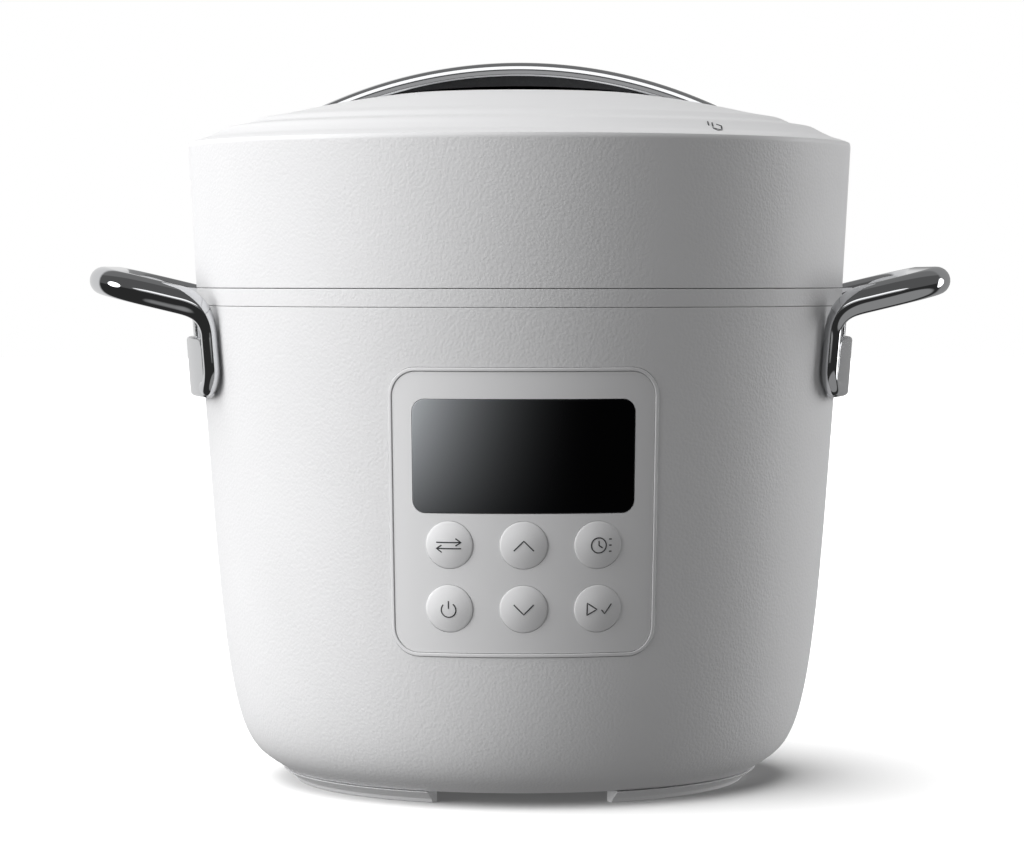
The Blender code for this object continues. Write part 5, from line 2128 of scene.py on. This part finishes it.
@dataclass
class MainsInlet:
    """The socket for the mains connector, low on the back."""

    finishes: Finishes
    size: Point = (30.0 * MM, 16.0 * MM)
    corner: float = 3.0 * MM
    z: float = 24.5 * MM
    depth: float = 15.0 * MM
    wall: float = 2.5 * MM
    face: float = BODY.radius(16.5 * MM) - 0.3 * MM

    def build(self) -> None:
        """Builds the socket and its two pins."""
        socket = plate("mains_socket", self.size, self.corner, (0, self.z), (self.face - self.depth, self.face), 6)
        well = plate(
            "socket_well",
            (self.size[0] - 2 * self.wall, self.size[1] - 2 * self.wall),
            self.corner - 1 * MM,
            (0, self.z),
            (self.face - self.depth + self.wall, self.face + 5 * MM),
            6,
        )
        combine(socket, [well], Operation.CUT)
        edged(socket, 0.5 * MM, 3, 60)
        present(socket, "base", [self.finishes.dark_plastic], ["power_inlet"])
        floor = self.face - self.depth + self.wall
        pin = turned(
            "pin", rounded([(0.0, 8 * MM), (1.6 * MM, 8 * MM), (1.6 * MM, 0.3 * MM), (0.0, 0.3 * MM)], 0.7 * MM, 4), 32
        )
        for word, side in (("left", -1), ("right", 1)):
            x = side * (self.size[0] / 2 - self.wall) / 2
            where = Matrix.Translation((x, floor, self.z)) @ Matrix.Rotation(-math.pi / 2, 4, "X")
            twin = copy_of(pin, f"contact_{word}", where)
            present(twin, "base", [self.finishes.screw], [f"inlet_pin_{word}"])
        bpy.data.objects.remove(pin, do_unlink=True)


# ---------------------------------------------------------------- studio


@dataclass(frozen=True)
class Card:
    """A soft card in the studio that only shows in reflections. Angles are in degrees."""

    azimuth: float
    elevation: float
    half: float
    soft: float
    level: float
    flat: float = 1.0  # how many times wider than high

    def axis(self) -> Vector:
        """Direction from the object to the card."""
        a, e = math.radians(self.azimuth), math.radians(self.elevation)
        return Vector((math.sin(a) * math.cos(e), -math.cos(a) * math.cos(e), math.sin(e)))

    def facing(self, tree: bpy.types.NodeTree, direction: object) -> object:
        """How squarely a direction looks at the card.

        Args:
            tree: the world's node tree.
            direction: the output that gives the direction.

        Returns:
            An output that is 1 in the card's middle and falls off round it.
        """
        aim = self.axis()
        if self.flat != 1.0:
            shift = (0.0, 0.0, -self.flat * aim.z)
            scaled = add_node(
                tree,
                "ShaderNodeVectorMath",
                {"operation": "MULTIPLY_ADD", 1: (1, 1, self.flat), 2: shift},
                {0: direction},
            )
            unit = add_node(
                tree, "ShaderNodeVectorMath", {"operation": "NORMALIZE"}, {0: scaled.outputs[0]}
            )
            direction, aim = unit.outputs[0], Vector((aim.x, aim.y, 0)).normalized()
        return add_node(
            tree, "ShaderNodeVectorMath", {"operation": "DOT_PRODUCT", 1: aim}, {0: direction}
        ).outputs["Value"]


@dataclass
class Studio:
    """A pale floor, soft lights and the camera."""

    cards: tuple[Card, ...] = (
        Card(0, 90, 87, 2, 0.11),
        Card(60, -60, 45, 4, 0.30),
        Card(180, 50, 45, 4, 0.20),
        Card(146, 6, 36, 4, 0.30),
        Card(-146, 6, 36, 4, 0.78),
        Card(0, 3, 25, 4, 0.40, 8.0),
        Card(0, 11, 30, 3, 1.50, 7.0),
        Card(-70, 10, 14, 1, 4.0, 1.0),
        Card(110, 2, 9, 1, 4.0, 0.5),
    )
    dim: float = 0.03
    ambient: float = 0.2
    camera_reach: float = 1368 * MM
    camera_z: float = 180 * MM
    camera_azimuth: float = math.radians(-0.75)
    camera_yaw: float = math.radians(-0.638)
    camera_tilt: float = math.radians(2.34)
    lens: float = 133.6

    def build(self) -> None:
        """Builds the studio."""
        bpy.context.scene.view_settings.view_transform = "Standard"
        self.make_floor()
        self.make_world()
        self.make_lights()
        self.make_camera()

    def make_floor(self) -> None:
        """A wide matt floor that stays out of reflections."""
        bpy.ops.object.select_all(action="DESELECT")
        bpy.ops.mesh.primitive_plane_add(size=14, location=(0, 0, 0))
        floor = bpy.context.object
        floor.name = "studio_floor"
        material, tree, shader, place = new_material("paper_backdrop_matt")
        shader.inputs["Base Color"].default_value = linear("#CFCFCF")
        shader.inputs["Roughness"].default_value = 0.9
        shader.inputs["Specular IOR Level"].default_value = 0.0
        floor.data.materials.append(material)
        floor.visible_glossy = False
        floor.visible_diffuse = False
        self.floor = floor

    def make_world(self) -> None:
        """White for the camera, an even fill for matt surfaces, and cards for reflections."""
        world = bpy.data.worlds.new("studio")
        bpy.context.scene.world = world
        world.use_nodes = True
        tree = world.node_tree
        tree.nodes.clear()
        direction = add_node(tree, "ShaderNodeTexCoord").outputs["Generated"]
        level = add_node(tree, "ShaderNodeValue")
        level.outputs[0].default_value = self.dim
        value = level.outputs[0]
        for card in self.cards:
            mask = add_node(
                tree,
                "ShaderNodeMapRange",
                {
                    "interpolation_type": "SMOOTHSTEP",
                    1: math.cos(math.radians(card.half + card.soft)),
                    2: math.cos(math.radians(max(0.0, card.half - card.soft))),
                    3: 0.0,
                    4: 1.0,
                },
                {0: card.facing(tree, direction)},
            )
            mixed = add_node(tree, "ShaderNodeMix", {3: card.level}, {0: mask.outputs[0], 2: value})
            value = mixed.outputs[0]
        ray = add_node(tree, "ShaderNodeLightPath")
        matt = add_node(
            tree, "ShaderNodeMix", {2: self.ambient}, {0: ray.outputs["Is Glossy Ray"], 3: value}
        )
        seen = add_node(
            tree, "ShaderNodeMix", {3: 1.0}, {0: ray.outputs["Is Camera Ray"], 2: matt.outputs[0]}
        )
        light = add_node(tree, "ShaderNodeBackground", {"Color": (1, 1, 1, 1)}, {1: seen.outputs[0]})
        add_node(tree, "ShaderNodeOutputWorld", {}, {0: light.outputs[0]})

    def lamp(self, name: str, azimuth: float, elevation: float, spread: float, level: float) -> bpy.types.Object:
        """A far, soft light that stays out of reflections.

        Args:
            name: its name.
            azimuth: where it stands, in degrees.
            elevation: how high it stands, in degrees.
            spread: how wide it looks from the object, in degrees.
            level: radiance of a white surface that faces it.

        Returns:
            The light.
        """
        axis = Card(azimuth, elevation, 0, 0, 0).axis()
        bpy.ops.object.light_add(
            type="SUN", location=2 * axis, rotation=axis.to_track_quat("Z", "Y").to_euler()
        )
        lamp = bpy.context.object
        lamp.name = name
        lamp.data.angle = math.radians(spread)
        lamp.data.energy = level * math.pi
        lamp.visible_glossy = False
        return lamp

    def reserve(self, lamp: bpy.types.Object, state: str) -> None:
        """Makes a light shine on the floor alone, or on everything but the floor.

        Args:
            lamp: the light.
            state: "INCLUDE" or "EXCLUDE".
        """
        group = bpy.data.collections.new(f"{lamp.name}_reach")
        group.objects.link(self.floor)
        group.collection_objects[0].light_linking.link_state = state
        lamp.light_linking.receiver_collection = group

    def make_lights(self) -> None:
        """A key light on the left, a rim light behind on the right, a top light, and one for the floor."""
        for lamp in (
            self.lamp("key", -70, 12, 50, 0.97),
            self.lamp("rim", 119, 8, 40, 0.74),
            self.lamp("top", -80, 55, 40, 0.52),
        ):
            self.reserve(lamp, "EXCLUDE")
        self.reserve(self.lamp("floor_wash", -80, 50, 115, 3.4), "INCLUDE")

    def make_camera(self) -> None:
        """The camera, a little above the middle of the side handles."""
        reach, azimuth = self.camera_reach, self.camera_azimuth
        bpy.ops.object.camera_add(
            location=(reach * math.sin(azimuth), -reach * math.cos(azimuth), self.camera_z),
            rotation=(math.pi / 2 - self.camera_tilt, 0, self.camera_yaw),
        )
        camera = bpy.context.object
        camera.data.lens = self.lens
        camera.data.sensor_width = 36
        camera.data.clip_end = 100
        bpy.context.scene.camera = camera


def main() -> None:
    """Builds each sub-assembly in order."""
    logging.basicConfig(level=logging.INFO, format="%(name)s: %(message)s")
    finishes = Finishes()
    casing = Casing(finishes)
    casing.build()
    ControlPanel(finishes, casing).build()
    SideHandles(finishes).build()
    MainsInlet(finishes).build()
    Cooking(finishes).build()
    lid = Lid(finishes)
    lid.build()
    LidUnderside(finishes, lid).build()
    Studio().build()
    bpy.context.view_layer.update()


if __name__ == "__main__":
    main()
